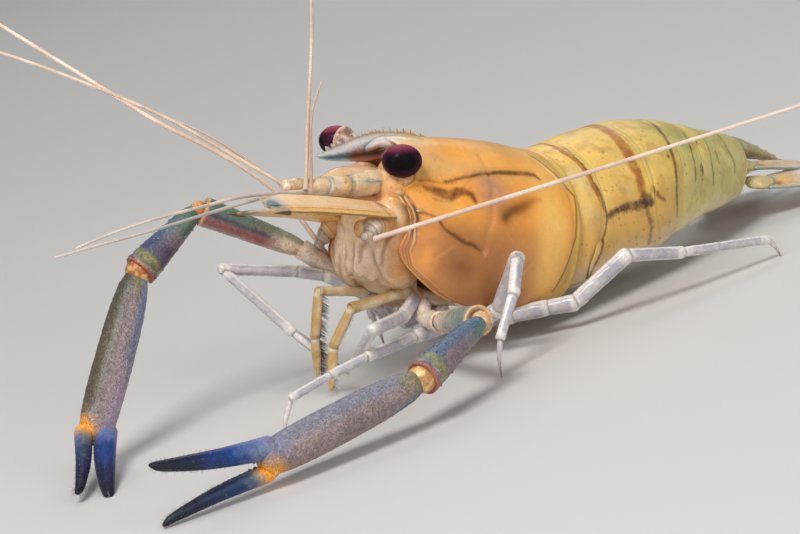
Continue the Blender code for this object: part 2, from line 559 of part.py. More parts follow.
def abdomen_ring(t, lean, shrink=0.0, shift=0.0):
    ridge, along, left, up = abdomen_frame(t)
    wide, rise, drop, hem_x = smooth(T_WIDE, t), smooth(T_RISE, t), smooth(T_DROP, t), smooth(T_HEM_X, t)
    half = []
    for v in A_STOPS:
        if v < 0.5:
            f = v * math.pi
            x, z = wide * math.sin(f), -rise * (1 - math.cos(f))
        else:
            f = (v - 0.5) * math.pi
            x, z = hem_x + (wide - hem_x) * math.cos(f), -rise - drop * math.sin(f)
        half.append((x, z, smooth(lean, v) + shift))
    x, z, l = half[-1]
    half += [(x - 0.65, z + 0.25, l), (x - 1.0, z + min(1.7, drop * 0.5), l), (x * 0.35, z + min(2.0, drop * 0.55), l)]
    pts = [ridge + left * x + up * z + along * l for x, z, l in half]
    pts += [ridge - left * x + up * z + along * l for x, z, l in reversed(half[1:])]
    return pts


SOMITE_COLOUR = [(0.74, 0.52, 0.22), (0.72, 0.55, 0.24), (0.68, 0.56, 0.27), (0.62, 0.56, 0.30), (0.58, 0.57, 0.33), (0.54, 0.57, 0.38)]
for k in range(6):
    rings = []
    stops = [0.0, 0.5, 1.0]
    for f in stops:
        lean = [(v, a * (1 - f) + smooth(LEAN[k + 1], v) * f) for v, a in ((v, smooth(LEAN[k], v)) for v in A_STOPS)]
        shift = 0.18 if f == 0 else (-0.18 if f == 1 else 0.0)
        rings.append(abdomen_ring(k + f, lean, 0.0, shift))
    loft("abdomen_%d" % (k + 1), rings, SOMITE_COLOUR[k], 0.3, None, True)

# ---------------------------------------------------------------- tail fan
ridge, along, left, up = abdomen_frame(6)
fan_yaw = math.radians(13)


def tail_direction(yaw, pitch):
    y, p = math.radians(13 + yaw), math.radians(pitch)
    return Vector((-math.sin(y) * math.cos(p), math.cos(y) * math.cos(p), -math.sin(p)))


TELSON = [(0.0, 1.35, 0.8), (0.15, 1.6, 0.9), (0.5, 1.25, 0.7), (0.85, 0.75, 0.45), (1.0, 0.35, 0.28)]
t_dir = tail_direction(0, 25)
t_left = Vector((math.cos(fan_yaw), math.sin(fan_yaw), 0))
t_base = ridge + up * -1.15 + along * 0.35
loft("telson", [ring(t_base + t_dir * (8.6 * t), t_dir, t_left, a, b, 10) for t, a, b in TELSON], (0.60, 0.60, 0.47))
# The blades of the fan slope down and out like a roof.
FAN_INNER = [(0.0, 0.6, 0.75), (0.2, 0.95, 1.0), (0.55, 1.3, 1.35), (0.85, 1.15, 1.05), (1.0, 0.4, 0.4)]
FAN_OUTER = [(0.0, 0.5, 0.8), (0.2, 1.0, 0.9), (0.55, 1.6, 1.2), (0.85, 1.55, 1.05), (1.0, 0.55, 0.4)]
for s, k in SIGN.items():
    for part, yaw, pitch, length, widths, out, low, slope in (("inner", -12 * k, 17, 8.8, FAN_INNER, 1.9, 2.75, 18), ("outer", -29 * k, 13, 9.6, FAN_OUTER, 3.15, 4.3, 30)):
        d = tail_direction(yaw, pitch)
        base = ridge + t_left * (k * out) - Vector((0, 0, low)) + along * 0.5
        flat = t_left * k * math.cos(math.radians(slope)) - Vector((0, 0, math.sin(math.radians(slope))))
        across = (flat - d * flat.dot(d)).normalized()
        rings = plate_rings(base, d, across, length, widths, 0.6, 0.0, 6)
        rings = [[Vector((p.x, p.y, max(p.z, FLOOR + 0.12))) for p in r] for r in rings]
        loft("uropod_%s_%s" % (part, s), rings, (0.74, 0.62, 0.56))

# --------------------------------------------------------------- swimmerets
for k in range(1, 6):
    t = k - 0.55
    ridge, along, left, up = abdomen_frame(t)
    drop = smooth(T_RISE, t) + smooth(T_DROP, t) - min(1.7, smooth(T_DROP, t) * 0.5)
    for s, g in SIGN.items():
        base = ridge + left * (g * smooth(T_HEM_X, t) * 0.42) - up * (drop + 0.35)
        d = (along * 0.95 - Vector((0, 0, 1)) * 0.18).normalized()
        across = (left - d * left.dot(d)).normalized()
        size = smooth(T_HEM_X, t) / 4.9
        widths = [(0, 0.35, 0.35), (0.3, 0.75 * size, 0.75 * size), (0.7, 0.85 * size, 0.85 * size), (1.0, 0.3, 0.3)]
        rings = plate_rings(base, d, across, 4.3 * size, widths, 0.6, 0.0, 4)
        rings = [[Vector((p.x, p.y, max(p.z, FLOOR + 0.3))) for p in r] for r in rings]
        loft("pleopod%d_%s" % (k, s), rings, (0.72, 0.66, 0.50))
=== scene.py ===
import bpy
import math
import numpy as np
from mathutils import Vector, Matrix


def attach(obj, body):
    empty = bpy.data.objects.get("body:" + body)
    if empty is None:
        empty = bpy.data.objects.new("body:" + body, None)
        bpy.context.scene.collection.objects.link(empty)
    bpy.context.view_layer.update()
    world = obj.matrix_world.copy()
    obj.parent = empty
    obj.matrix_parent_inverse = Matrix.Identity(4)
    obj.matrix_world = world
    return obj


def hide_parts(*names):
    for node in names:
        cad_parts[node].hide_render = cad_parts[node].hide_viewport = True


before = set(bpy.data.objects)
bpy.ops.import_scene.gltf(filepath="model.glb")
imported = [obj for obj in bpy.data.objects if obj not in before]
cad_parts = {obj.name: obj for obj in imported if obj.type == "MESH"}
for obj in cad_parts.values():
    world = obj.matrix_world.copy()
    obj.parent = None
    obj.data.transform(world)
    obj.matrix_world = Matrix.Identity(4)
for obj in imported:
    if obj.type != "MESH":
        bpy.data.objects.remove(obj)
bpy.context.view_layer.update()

# The same design frame as the solids: millimetres, the origin midway between
# the eyes, +X the animal's left, +Y towards the tail.
OFFSET = np.array((8.0092, -7.4069, 17.4))
FLOOR = -17.4
PITCH = math.radians(18.0)
CP, SP = math.cos(PITCH), math.sin(PITCH)
RNG = np.random.default_rng(7)
SIGN = {"L": 1, "R": -1}
UP = np.array((0.0, 0.0, 1.0))


# ------------------------------------------------------------------ numbers
def body(x, y, z):
    x, y, z = np.broadcast_arrays(np.asarray(x, float), np.asarray(y, float), np.asarray(z, float))
    return np.stack([x, y * CP + z * SP, -y * SP + z * CP], axis=-1)


def to_body(p):
    p = np.asarray(p, float)
    return np.stack([p[..., 0], p[..., 1] * CP - p[..., 2] * SP, p[..., 1] * SP + p[..., 2] * CP], axis=-1)


def smooth(keys, x):
    """Monotone cubic through (x, value) pairs, for arrays."""
    kx = np.array([k[0] for k in keys], float)
    ky = np.array([k[1] for k in keys], float)
    x = np.clip(np.asarray(x, float), kx[0], kx[-1])
    h = np.diff(kx)
    d = np.diff(ky) / h
    m = np.concatenate([[d[0]], np.zeros(len(kx) - 2), [d[-1]]])
    for i in range(1, len(kx) - 1):
        m[i] = 0.0 if d[i - 1] * d[i] <= 0 else 2 * d[i - 1] * d[i] / (d[i - 1] + d[i])
    i = np.clip(np.searchsorted(kx, x, side="right") - 1, 0, len(kx) - 2)
    t = (x - kx[i]) / h[i]
    return ((2 * t ** 3 - 3 * t ** 2 + 1) * ky[i] + (t ** 3 - 2 * t ** 2 + t) * h[i] * m[i]
            + (-2 * t ** 3 + 3 * t ** 2) * ky[i + 1] + (t ** 3 - t ** 2) * h[i] * m[i + 1])


def step(a, b, x):
    t = np.clip((np.asarray(x, float) - a) / (b - a), 0, 1)
    return t * t * (3 - 2 * t)


def unit(v):
    v = np.asarray(v, float)
    return v / (np.linalg.norm(v, axis=-1, keepdims=True) + 1e-12)


def direction(az, el):
    a, e = math.radians(az), math.radians(el)
    return np.array((math.sin(a) * math.cos(e), -math.cos(a) * math.cos(e), math.sin(e)))


def walk(root, pieces):
    pts = [np.array(root, float)]
    for length, az, el in pieces:
        pts.append(pts[-1] + direction(az, el) * length)
    return pts


def sweep(root, pieces, gap=0.25):
    pts = [np.array(root, float)]
    _, az, el = pieces[0]
    for length, az1, el1 in pieces:
        n = max(2, round(length / gap))
        for i in range(n):
            t = (i + 0.5) / n
            t = t * t * (3 - 2 * t) * 0.5 + t * 0.5
            pts.append(pts[-1] + direction(az + (az1 - az) * t, el + (el1 - el) * t) * (length / n))
        az, el = az1, el1
    return np.array(pts)


def value_noise(p, freq, seed=0):
    q = np.asarray(p, float) * freq + 1000.5
    i = np.floor(q).astype(np.int64)
    f = q - i
    f = f * f * (3 - 2 * f)
    out = np.zeros(q.shape[:-1])
    for dx in (0, 1):
        for dy in (0, 1):
            for dz in (0, 1):
                h = ((i[..., 0] + dx) * 73856093) ^ ((i[..., 1] + dy) * 19349663) ^ ((i[..., 2] + dz) * 83492791) ^ (seed * 9176381)
                h = (h ^ (h >> 13)) * 1274126177 & 0x7FFFFFFF
                h = (h ^ (h >> 15)) * 40503 & 0x7FFFFFFF
                r = (h % 65536) / 65535.0
                w = (f[..., 0] if dx else 1 - f[..., 0]) * (f[..., 1] if dy else 1 - f[..., 1]) * (f[..., 2] if dz else 1 - f[..., 2])
                out += r * w
    return out


def cloud(p, freq, seed=0, octaves=3):
    total, amp, norm = 0.0, 1.0, 0.0
    for k in range(octaves):
        total = total + amp * value_noise(p, freq * 2 ** k, seed + k)
        norm += amp
        amp *= 0.5
    return total / norm


def rgb(r, g, b):
    c = np.array((r, g, b)) / 255.0
    return np.where(c <= 0.04045, c / 12.92, ((c + 0.055) / 1.055) ** 2.4)


def mix(a, b, t):
    return a + (b - a) * np.asarray(t)[..., None]


# ------------------------------------------------------------------- meshes
class Piece:
    """Several closed shells gathered into one mesh with painted points."""

    def __init__(self, name):
        self.name, self.V, self.Q, self.T, self.C, self.X, self.U, self.n = name, [], [], [], [], [], [], 0

    def add(self, V, Q, T, C, X=None, UV=None):
        V = np.asarray(V, float).reshape(-1, 3)
        Q = np.asarray(Q, np.int64).reshape(-1, 4)
        T = np.asarray(T, np.int64).reshape(-1, 3)
        a, b, c = V[Q[:, 0]], V[Q[:, 1]], V[Q[:, 2]]
        d = V[Q[:, 3]]
        vol = np.einsum("ij,ij->i", a, np.cross(b, c)).sum() + np.einsum("ij,ij->i", a, np.cross(c, d)).sum()
        if len(T):
            vol += np.einsum("ij,ij->i", V[T[:, 0]], np.cross(V[T[:, 1]], V[T[:, 2]])).sum()
        if vol < 0:
            Q, T = Q[:, ::-1], T[:, ::-1]
        C = np.broadcast_to(np.asarray(C, float), V.shape) if np.ndim(C) == 1 else np.asarray(C, float).reshape(-1, 3)
        if X is None:
            X = np.zeros_like(V)
        X = np.broadcast_to(np.asarray(X, float), V.shape) if np.ndim(X) == 1 else np.asarray(X, float).reshape(-1, 3)
        self.V.append(V); self.Q.append(Q + self.n); self.T.append(T + self.n); self.C.append(C); self.X.append(X)
        if UV is not None:
            self.U.append(UV)
        self.n += len(V)
        return self

    def make(self, mat, slot, nodes=(), uv=None):
        V = (np.concatenate(self.V) + OFFSET) * 0.001
        Q, T = np.concatenate(self.Q), np.concatenate(self.T)
        C, X = np.concatenate(self.C), np.concatenate(self.X)
        V[:, 2] = np.maximum(V[:, 2], 0.0)
        mesh = bpy.data.meshes.new(self.name)
        mesh.vertices.add(len(V))
        mesh.vertices.foreach_set("co", V.astype(np.float32).ravel())
        loops = np.concatenate([Q.ravel(), T.ravel()]).astype(np.int32)
        starts = np.concatenate([np.arange(len(Q)) * 4, len(Q) * 4 + np.arange(len(T)) * 3]).astype(np.int32)
        mesh.loops.add(len(loops))
        mesh.loops.foreach_set("vertex_index", loops)
        mesh.polygons.add(len(starts))
        mesh.polygons.foreach_set("loop_start", starts)
        mesh.update(calc_edges=True)
        mesh.validate()
        mesh.polygons.foreach_set("use_smooth", np.ones(len(mesh.polygons), bool))
        for key, data in (("Paint", C), ("Fx", X)):
            att = mesh.color_attributes.new(key, "FLOAT_COLOR", "POINT")
            att.data.foreach_set("color", np.concatenate([np.clip(data, 0, 1), np.ones((len(data), 1))], axis=1).astype(np.float32).ravel())
        if uv:
            layer = mesh.uv_layers.new(name=uv)
            U = np.concatenate(self.U)
            li = np.empty(len(mesh.loops), np.int32)
            mesh.loops.foreach_get("vertex_index", li)
            layer.data.foreach_set("uv", U[li].astype(np.float32).ravel())
        mesh.materials.append(mat)
        obj = bpy.data.objects.new(self.name, mesh)
        bpy.context.scene.collection.objects.link(obj)
        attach(obj, "root")
        if nodes:
            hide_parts(*nodes)
        return obj


def loft(P, cap=True):
    """Faces of a closed tube through the rings P (rings, points, 3)."""
    m, n = P.shape[:2]
    i = np.arange(m - 1)[:, None] * n
    j = np.arange(n)[None, :]
    k = (j + 1) % n
    Q = np.stack([i + j, i + k, i + n + k, i + n + j], axis=-1).reshape(-1, 4)
    V = P.reshape(-1, 3)
    T = []
    if cap:
        V = np.concatenate([V, [P[0].mean(0)], [P[-1].mean(0)]])
        a, b = m * n, m * n + 1
        j = np.arange(n)
        k = (j + 1) % n
        T = np.concatenate([np.stack([k, j, np.full(n, a)], 1), np.stack([(m - 1) * n + j, (m - 1) * n + k, np.full(n, b)], 1)])
    return V, Q, T


def with_caps(A):
    """Values on rings (rings, points, ...) carried on to the two end points."""
    A = np.asarray(A, float)
    tail = A.shape[2:]
    return np.concatenate([A.reshape(-1, *tail), [A[0].mean(0)], [A[-1].mean(0)]])


def turned(p, q, side, keys, n=24, step_mm=0.12, ratio=1.0, bow=0.0, start="ball", end="socket", rough=0.0, seed=1):
    """A limb segment from p to q.  keys: (0..1, radius).  Returns the rings and
    the fraction along, the angle around (0 = side) and the radius of each point."""
    p, q = np.asarray(p, float), np.asarray(q, float)
    axis = unit(q - p)
    length = np.linalg.norm(q - p)
    side = unit(np.asarray(side, float) - axis * np.dot(side, axis))
    other = np.cross(axis, side)
    count = max(6, int(length / step_mm))
    s = np.linspace(0, 1, count)
    r = smooth(keys, s)
    S, R = list(s * length), list(r)
    r0, r1 = R[0], R[-1]
    if start == "ball":
        cap = [(-0.75 * r0 * math.cos(a), r0 * math.sin(a)) for a in np.radians((12, 30, 50, 70))]
        S, R = [c[0] for c in cap] + S, [c[1] for c in cap] + R
    else:
        S, R = [0.0] + S, [r0 * 0.55] + R
    if end == "socket":
        tail = [(0.03, 1.03), (0.07, 1.0), (0.085, 0.92), (0.06, 0.82), (-0.06, 0.74), (-0.22, 0.6)]
        S, R = S + [length + a for a, _ in tail], R + [r1 * b for _, b in tail]
    elif end == "ball":
        tail = [(0.75 * r1 * math.sin(a), r1 * math.cos(a)) for a in np.radians((20, 42, 62, 80))]
        S, R = S + [length + a for a, _ in tail], R + [b for _, b in tail]
    S, R = np.array(S), np.array(R)
    th = np.linspace(0, 2 * math.pi, n, endpoint=False)
    curve = bow * np.sin(np.pi * np.clip(S / length, 0, 1))
    C = p + axis * S[:, None] + side * curve[:, None]
    P = C[:, None, :] + R[:, None, None] * (np.cos(th)[None, :, None] * side + np.sin(th)[None, :, None] * other * ratio)
    T = np.repeat((S / length)[:, None], n, 1)
    TH = np.repeat(th[None], len(S), 0)
    if rough:
        out = unit(P - C[:, None, :])
        P = P + out * ((cloud(P, 2.2, seed) - 0.5) * rough)[..., None]
    return P, T, TH, np.repeat(R[:, None], n, 1)


# ---------------------------------------------------------------- materials
def new_material(name, rough=(0.22, 0.4), bump=((2500, 0.25, 0.00002),), tint=0.12, tint_scale=900.0, fine=0.0, fine_scale=6000.0,
                 sss=0.35, radius=(1.0, 0.55, 0.3), sss_scale=0.0009, coat=0.35, coat_rough=0.08, sheen=0.0, sheen_rough=0.4,
                 sheen_tint=(1, 1, 1), trans=0.0, ior=1.45, cells=None, spec=0.5,
                 speck_scale=8000):
    """Skin or shell: painted colour, broken up by noise, with its own bump."""
    mat = bpy.data.materials.new(name)
    mat.use_nodes = True
    nt = mat.node_tree
    N, L = nt.nodes, nt.links
    bsdf = N["Principled BSDF"]
    coord = N.new("ShaderNodeTexCoord").outputs["Object"]
    paint = N.new("ShaderNodeVertexColor")
    paint.layer_name = "Paint"
    fx = N.new("ShaderNodeVertexColor")
    fx.layer_name = "Fx"
    sep = N.new("ShaderNodeSeparateColor")
    L.new(fx.outputs["Color"], sep.inputs[0])

    def noise(scale, detail=4.0):
        t = N.new("ShaderNodeTexNoise")
        t.inputs["Scale"].default_value = scale
        t.inputs["Detail"].default_value = detail
        L.new(coord, t.inputs["Vector"])
        return t.outputs["Fac"]

    def ranged(value, a, b, c, d):
        t = N.new("ShaderNodeMapRange")
        t.inputs[1].default_value, t.inputs[2].default_value = a, b
        t.inputs[3].default_value, t.inputs[4].default_value = c, d
        L.new(value, t.inputs[0])
        return t.outputs[0]

    def multiply(colour, value):
        t = N.new("ShaderNodeVectorMath")
        t.operation = "SCALE"
        L.new(colour, t.inputs[0])
        L.new(value, t.inputs["Scale"])
        return t.outputs[0]

    colour = multiply(paint.outputs["Color"], ranged(noise(tint_scale), 0.3, 0.7, 1 - tint, 1 + tint))
    if fine:
        colour = multiply(colour, ranged(noise(fine_scale, 2.0), 0.3, 0.7, 1 - fine, 1 + fine))
    grains = ranged(noise(speck_scale, 3.0), 0.47, 0.62, 0.0, 0.75)
    dark = N.new("ShaderNodeMath")
    dark.operation = "MULTIPLY"
    L.new(grains, dark.inputs[0])
    L.new(sep.outputs[2], dark.inputs[1])
    rest = N.new("ShaderNodeMath")
    rest.operation = "SUBTRACT"
    rest.inputs[0].default_value = 1.0
    L.new(dark.outputs[0], rest.inputs[1])
    colour = multiply(colour, rest.outputs[0])
    L.new(colour, bsdf.inputs["Base Color"])
    wear = ranged(noise(tint_scale * 1.7), 0.3, 0.7, rough[0], rough[1])
    add = N.new("ShaderNodeMath")
    add.operation = "ADD"
    L.new(wear, add.inputs[0])
    half = N.new("ShaderNodeMath")
    half.operation = "MULTIPLY"
    half.inputs[1].default_value = 0.5
    L.new(sep.outputs[1], half.inputs[0])
    L.new(half.outputs[0], add.inputs[1])
    L.new(add.outputs[0], bsdf.inputs["Roughness"])
    last = None
    for scale, strength, distance in bump:
        b = N.new("ShaderNodeBump")
        b.inputs["Strength"].default_value = strength
        b.inputs["Distance"].default_value = distance
        L.new(noise(scale), b.inputs["Height"])
        if last:
            L.new(last, b.inputs["Normal"])
        last = b.outputs["Normal"]
    if cells:
        scale, strength, distance = cells
        v = N.new("ShaderNodeTexVoronoi")
        v.inputs["Scale"].default_value = scale
        L.new(coord, v.inputs["Vector"])
        b = N.new("ShaderNodeBump")
        b.invert = True
        b.inputs["Distance"].default_value = distance
        m = N.new("ShaderNodeMath")
        m.operation = "MULTIPLY"
        m.inputs[1].default_value = strength
        L.new(sep.outputs[0], m.inputs[0])
        L.new(m.outputs[0], b.inputs["Strength"])
        L.new(v.outputs["Distance"], b.inputs["Height"])
        if last:
            L.new(last, b.inputs["Normal"])
        last = b.outputs["Normal"]
    if last:
        L.new(last, bsdf.inputs["Normal"])
    bsdf.inputs["Subsurface Weight"].default_value = sss
    bsdf.inputs["Subsurface Radius"].default_value = radius
    bsdf.inputs["Subsurface Scale"].default_value = sss_scale
    bsdf.inputs["Coat Weight"].default_value = coat
    bsdf.inputs["Coat Roughness"].default_value = coat_rough
    bsdf.inputs["Sheen Weight"].default_value = sheen
    bsdf.inputs["Sheen Roughness"].default_value = sheen_rough
    bsdf.inputs["Sheen Tint"].default_value = (*sheen_tint, 1)
    bsdf.inputs["Transmission Weight"].default_value = trans
    bsdf.inputs["IOR"].default_value = ior
    bsdf.inputs["Specular IOR Level"].default_value = spec
    return mat


SHELL = new_material("shell", rough=(0.3, 0.4), bump=((1400, 0.12, 0.00004), (9000, 0.12, 0.000008)), tint=0.05, tint_scale=500,
                     fine=0.035, fine_scale=7000, sss=0.5, radius=(1.0, 0.5, 0.2), sss_scale=0.0012, coat=0.12, coat_rough=0.14)
TAIL = new_material("abdomen_skin", rough=(0.42, 0.55), bump=((1600, 0.14, 0.00003), (9000, 0.12, 0.000008)), tint=0.08, tint_scale=420,
                    fine=0.04, fine_scale=6000, sss=0.5, radius=(1.0, 0.75, 0.25), sss_scale=0.0011, coat=0.06, coat_rough=0.2)
EYE = new_material("eye_facets", rough=(0.62, 0.72), bump=(), tint=0.2, tint_scale=2500, fine=0.15, fine_scale=14000, sss=0.0,
                   coat=0.05, coat_rough=0.06, cells=(11000, 0.6, 0.00003), sheen=0.06, sheen_rough=0.3, sheen_tint=(1.0, 0.62, 0.72), spec=0.12)
FLESH = new_material("pale_flesh", rough=(0.25, 0.45), bump=((2200, 0.25, 0.00005), (9000, 0.2, 0.00001)), tint=0.12, tint_scale=1500,
                     fine=0.08, fine_scale=8000, sss=0.6, radius=(1.0, 0.75, 0.55), sss_scale=0.0009, coat=0.3, coat_rough=0.12)
ARM = new_material("arm_skin", rough=(0.32, 0.5), bump=((3000, 0.2, 0.00003),), tint=0.18, tint_scale=2200, fine=0.22, fine_scale=9000,
                   sss=0.12, radius=(0.8, 0.7, 0.8), sss_scale=0.0004, coat=0.15, coat_rough=0.25, cells=(6500, 0.9, 0.00005))
GLASS = new_material("leg_skin", rough=(0.22, 0.38), bump=((3000, 0.2, 0.00002), (12000, 0.2, 0.00001)), tint=0.12, tint_scale=2500,
                     fine=0.10, fine_scale=9000, sss=0.65, radius=(0.8, 0.85, 1.0), sss_scale=0.0007, coat=0.4, coat_rough=0.12,
                     sheen=0.7, sheen_rough=0.28, sheen_tint=(0.92, 0.95, 1.0))
WHIP = new_material("feeler_skin", rough=(0.35, 0.5), bump=((6000, 0.2, 0.00001),), tint=0.08, tint_scale=4000, sss=0.3,
                    radius=(0.9, 0.7, 0.6), sss_scale=0.0003, coat=0.2, coat_rough=0.2)
BLADE = new_material("thin_plate", rough=(0.32, 0.44), bump=((2500, 0.08, 0.00002), (12000, 0.06, 0.000006)), tint=0.05, tint_scale=1200,
                     fine=0.025, fine_scale=9000, sss=0.7, radius=(1.0, 0.8, 0.6), sss_scale=0.0009, coat=0.2, coat_rough=0.14)
SETA = new_material("bristle", rough=(0.4, 0.55), bump=((20000, 0.1, 0.000004),), tint=0.15, tint_scale=6000, sss=0.1,
                    sss_scale=0.0002, coat=0.1, coat_rough=0.3)


# ----------------------------------------------------------- shape builders
def normals_of(P):
    """Outward normals of a grid of rings (rings, points, 3)."""
    du = np.gradient(P, axis=0)
    dv = (np.roll(P, -1, axis=1) - np.roll(P, 1, axis=1)) / 2
    n = unit(np.cross(du, dv))
    mid = P.mean(axis=1, keepdims=True)
    if ((P - mid) * n).sum() < 0:
        n = -n
    return n


def tube(points, radii, n=10, seed_axis=None):
    """Rings round a path, carried along it without twist."""
    pts = np.asarray(points, float)
    tang = unit(np.gradient(pts, axis=0))
    side = np.array(seed_axis if seed_axis is not None else (0.3, 0.2, 1.0), float)
    th = np.linspace(0, 2 * math.pi, n, endpoint=False)
    rings = []
    for p, t, r in zip(pts, tang, radii):
        side = side - t * np.dot(side, t)
        side /= np.linalg.norm(side)
        other = np.cross(t, side)
        rings.append(p + r * (np.cos(th)[:, None] * side + np.sin(th)[:, None] * other))
    return np.array(rings)


def spline(points, count):
    """Catmull-Rom curve through the points, evenly sampled."""
    p = np.asarray(points, float)
    q = np.concatenate([[2 * p[0] - p[1]], p, [2 * p[-1] - p[-2]]])
    s = np.linspace(0, len(p) - 1 - 1e-9, count)
    i = s.astype(int)
    t = (s - i)[:, None]
    a, b, c, d = q[i], q[i + 1], q[i + 2], q[i + 3]
    return 0.5 * (2 * b + (c - a) * t + (2 * a - 5 * b + 4 * c - d) * t ** 2 + (3 * b - a - 3 * c + d) * t ** 3)


def cone(piece, base, way, length, r0, colour, tip=None, bend=(0, 0, 0), n=10, power=0.8):
    s = np.linspace(0, 1, 9)
    base, way, bend = np.asarray(base, float), unit(way), np.asarray(bend, float)
    pts = base + way * (length * s)[:, None] + bend * (length * s ** 2)[:, None]
    r = r0 * np.clip(1 - s, 0.02, 1) ** power
    P = tube(pts, r, n)
    tip = colour if tip is None else tip
    C = mix(np.broadcast_to(colour, P.shape), tip, np.repeat((s ** 2)[:, None], n, 1))
    piece.add(*loft(P), with_caps(C), (0, 0.1, 0))


def needles(piece, base, way, length, radius, colour, uv, bend=None):
    """Many three-sided bristles in one batch, each a closed spike."""
    base, way = np.asarray(base, float), unit(way)
    m = len(base)
    length = np.broadcast_to(np.asarray(length, float), (m,))
    radius = np.broadcast_to(np.asarray(radius, float), (m,))
    bend = np.zeros((m, 3)) if bend is None else np.broadcast_to(np.asarray(bend, float), (m, 3))
    side = unit(np.cross(way, np.where(np.abs(way[:, 2:3]) < 0.9, np.array([[0, 0, 1.0]]), np.array([[1.0, 0, 0]]))))
    other = np.cross(way, side)
    V = np.zeros((m, 10, 3))
    for k, s in enumerate((0.0, 0.4, 0.75)):
        c = base + way * (length * s)[:, None] + bend * (length * s * s)[:, None]
        for j in range(3):
            a = j * 2 * math.pi / 3
            V[:, k * 3 + j] = c + (side * math.cos(a) + other * math.sin(a)) * (radius * (1 - 0.75 * s))[:, None]
    V[:, 9] = base + way * length[:, None] + bend * length[:, None]
    Q = np.array([(k * 3 + j, k * 3 + (j + 1) % 3, k * 3 + 3 + (j + 1) % 3, k * 3 + 3 + j) for k in range(2) for j in range(3)])
    T = np.array([(6, 7, 9), (7, 8, 9), (8, 6, 9), (2, 1, 0)])
    off = (np.arange(m) * 10)[:, None, None]
    C = np.broadcast_to(np.asarray(colour, float), (m, 3)) if np.ndim(colour) == 1 else colour
    C = C * (0.8 + 0.4 * RNG.random((m, 1)))
    uv = np.asarray(uv, float).reshape(-1, 2)
    uv = np.broadcast_to(uv, (m, 2))
    around = np.array([(math.cos(a), math.sin(a)) for a in np.linspace(0, 2 * math.pi, 10, endpoint=False)]) * 0.0015
    U = uv[:, None, :] + around[None]
    piece.add(V.reshape(-1, 3), (Q[None] + off).reshape(-1, 4), (T[None] + off).reshape(-1, 3),
              np.repeat(C[:, None, :], 10, 1).reshape(-1, 3), (0, 0, 0), U.reshape(-1, 2))


def leaf(base, along, across, length, widths, thick, lift=0.0, nu=70, nv=26, edge=0.35, ridge=None, droop=0.0, wave=0.0, seed=3):
    """A thin blade.  Returns its rings with t along, s across (-1 inner edge
    to 1 outer edge) and which face (1 upper, -1 lower)."""
    base, along, across = (np.asarray(a, float) for a in (base, along, across))
    normal = unit(np.cross(along, across))
    if normal[2] < 0:
        normal = -normal
    t = (1 - np.cos(np.linspace(0, math.pi, nu))) / 2
    inner = smooth([(a, b) for a, b, _ in widths], t)
    outer = smooth([(a, c) for a, _, c in widths], t)
    endcap = np.sqrt(np.clip(1 - ((t - 0.93) / 0.07).clip(0, 1) ** 2, 0.02, 1))
    inner, outer = inner * endcap, outer * endcap
    s = np.sin(np.linspace(-math.pi / 2, math.pi / 2, nv))
    S = np.concatenate([s, s[::-1][1:-1]])
    F = np.concatenate([np.ones(nv), -np.ones(nv - 2)])
    T = np.repeat(t[:, None], len(S), 1)
    SS = np.repeat(S[None], nu, 0)
    FF = np.repeat(F[None], nu, 0)
    x = np.where(SS < 0, SS * inner[:, None], SS * outer[:, None])
    h = thick / 2 * (edge + (1 - edge) * np.sqrt(np.clip(1 - SS ** 2, 0, 1))) * np.clip(np.abs(1 - np.abs(SS)) * 6, 0, 1) ** 0.5
    h = h * (0.35 + 0.65 * np.clip((1 - t) * 5, 0, 1))[:, None]
    z = FF * h + lift * np.sin(math.pi * T) - droop * SS ** 2 * np.sin(math.pi * np.clip(T, 0, 0.5))
    if ridge is not None:
        z = z + np.where(FF > 0, 1, 0) * ridge(T, SS)
    P = base + along * (length * T)[..., None] + across * x[..., None] + normal * z[..., None]
    if wave:
        P = P + normal * ((cloud(P, 0.8, seed) - 0.5) * wave)[..., None]
    return P, T, SS, FF


def line_distance(a, b, pts):
    """Distance in the plane (a, b) to a polyline and the place along it, 0 to 1."""
    pts = np.asarray(pts, float)
    best = np.full(np.shape(a), 1e9)
    where = np.zeros(np.shape(a))
    seg = np.linalg.norm(np.diff(pts, axis=0), axis=1)
    total, run = seg.sum(), 0.0
    for k in range(len(pts) - 1):
        p, d = pts[k], pts[k + 1] - pts[k]
        t = np.clip(((a - p[0]) * d[0] + (b - p[1]) * d[1]) / (d @ d + 1e-12), 0, 1)
        dist = np.hypot(a - p[0] - t * d[0], b - p[1] - t * d[1])
        nearer = dist < best
        best = np.where(nearer, dist, best)
        where = np.where(nearer, (run + t * seg[k]) / total, where)
        run += seg[k]
    return best, where


def patch(a, b, ca, cb, ra, rb):
    return np.exp(-(((a - ca) / ra) ** 2 + ((b - cb) / rb) ** 2))


def cells(P, freq, seed=5):
    """Distance to the nearest of one random point per cell, in cell sizes."""
    q = P.reshape(-1, 3) * freq + 500.3
    base = np.floor(q).astype(np.int64)
    best = np.full(len(q), 9.0)
    for dx in (-1, 0, 1):
        for dy in (-1, 0, 1):
            for dz in (-1, 0, 1):
                c = base + np.array((dx, dy, dz))
                h = (c[:, 0] * 73856093) ^ (c[:, 1] * 19349663) ^ (c[:, 2] * 83492791) ^ (seed * 7919)
                j = []
                for m in (1274126177, 668265263, 374761393):
                    g = (h ^ (h >> 13)) * m & 0x7FFFFFFF
                    g = (g ^ (g >> 15)) & 0xFFFF
                    j.append(g / 65535.0)
                best = np.minimum(best, np.linalg.norm(q - c - np.stack(j, 1), axis=1))
    return best.reshape(P.shape[:-1])


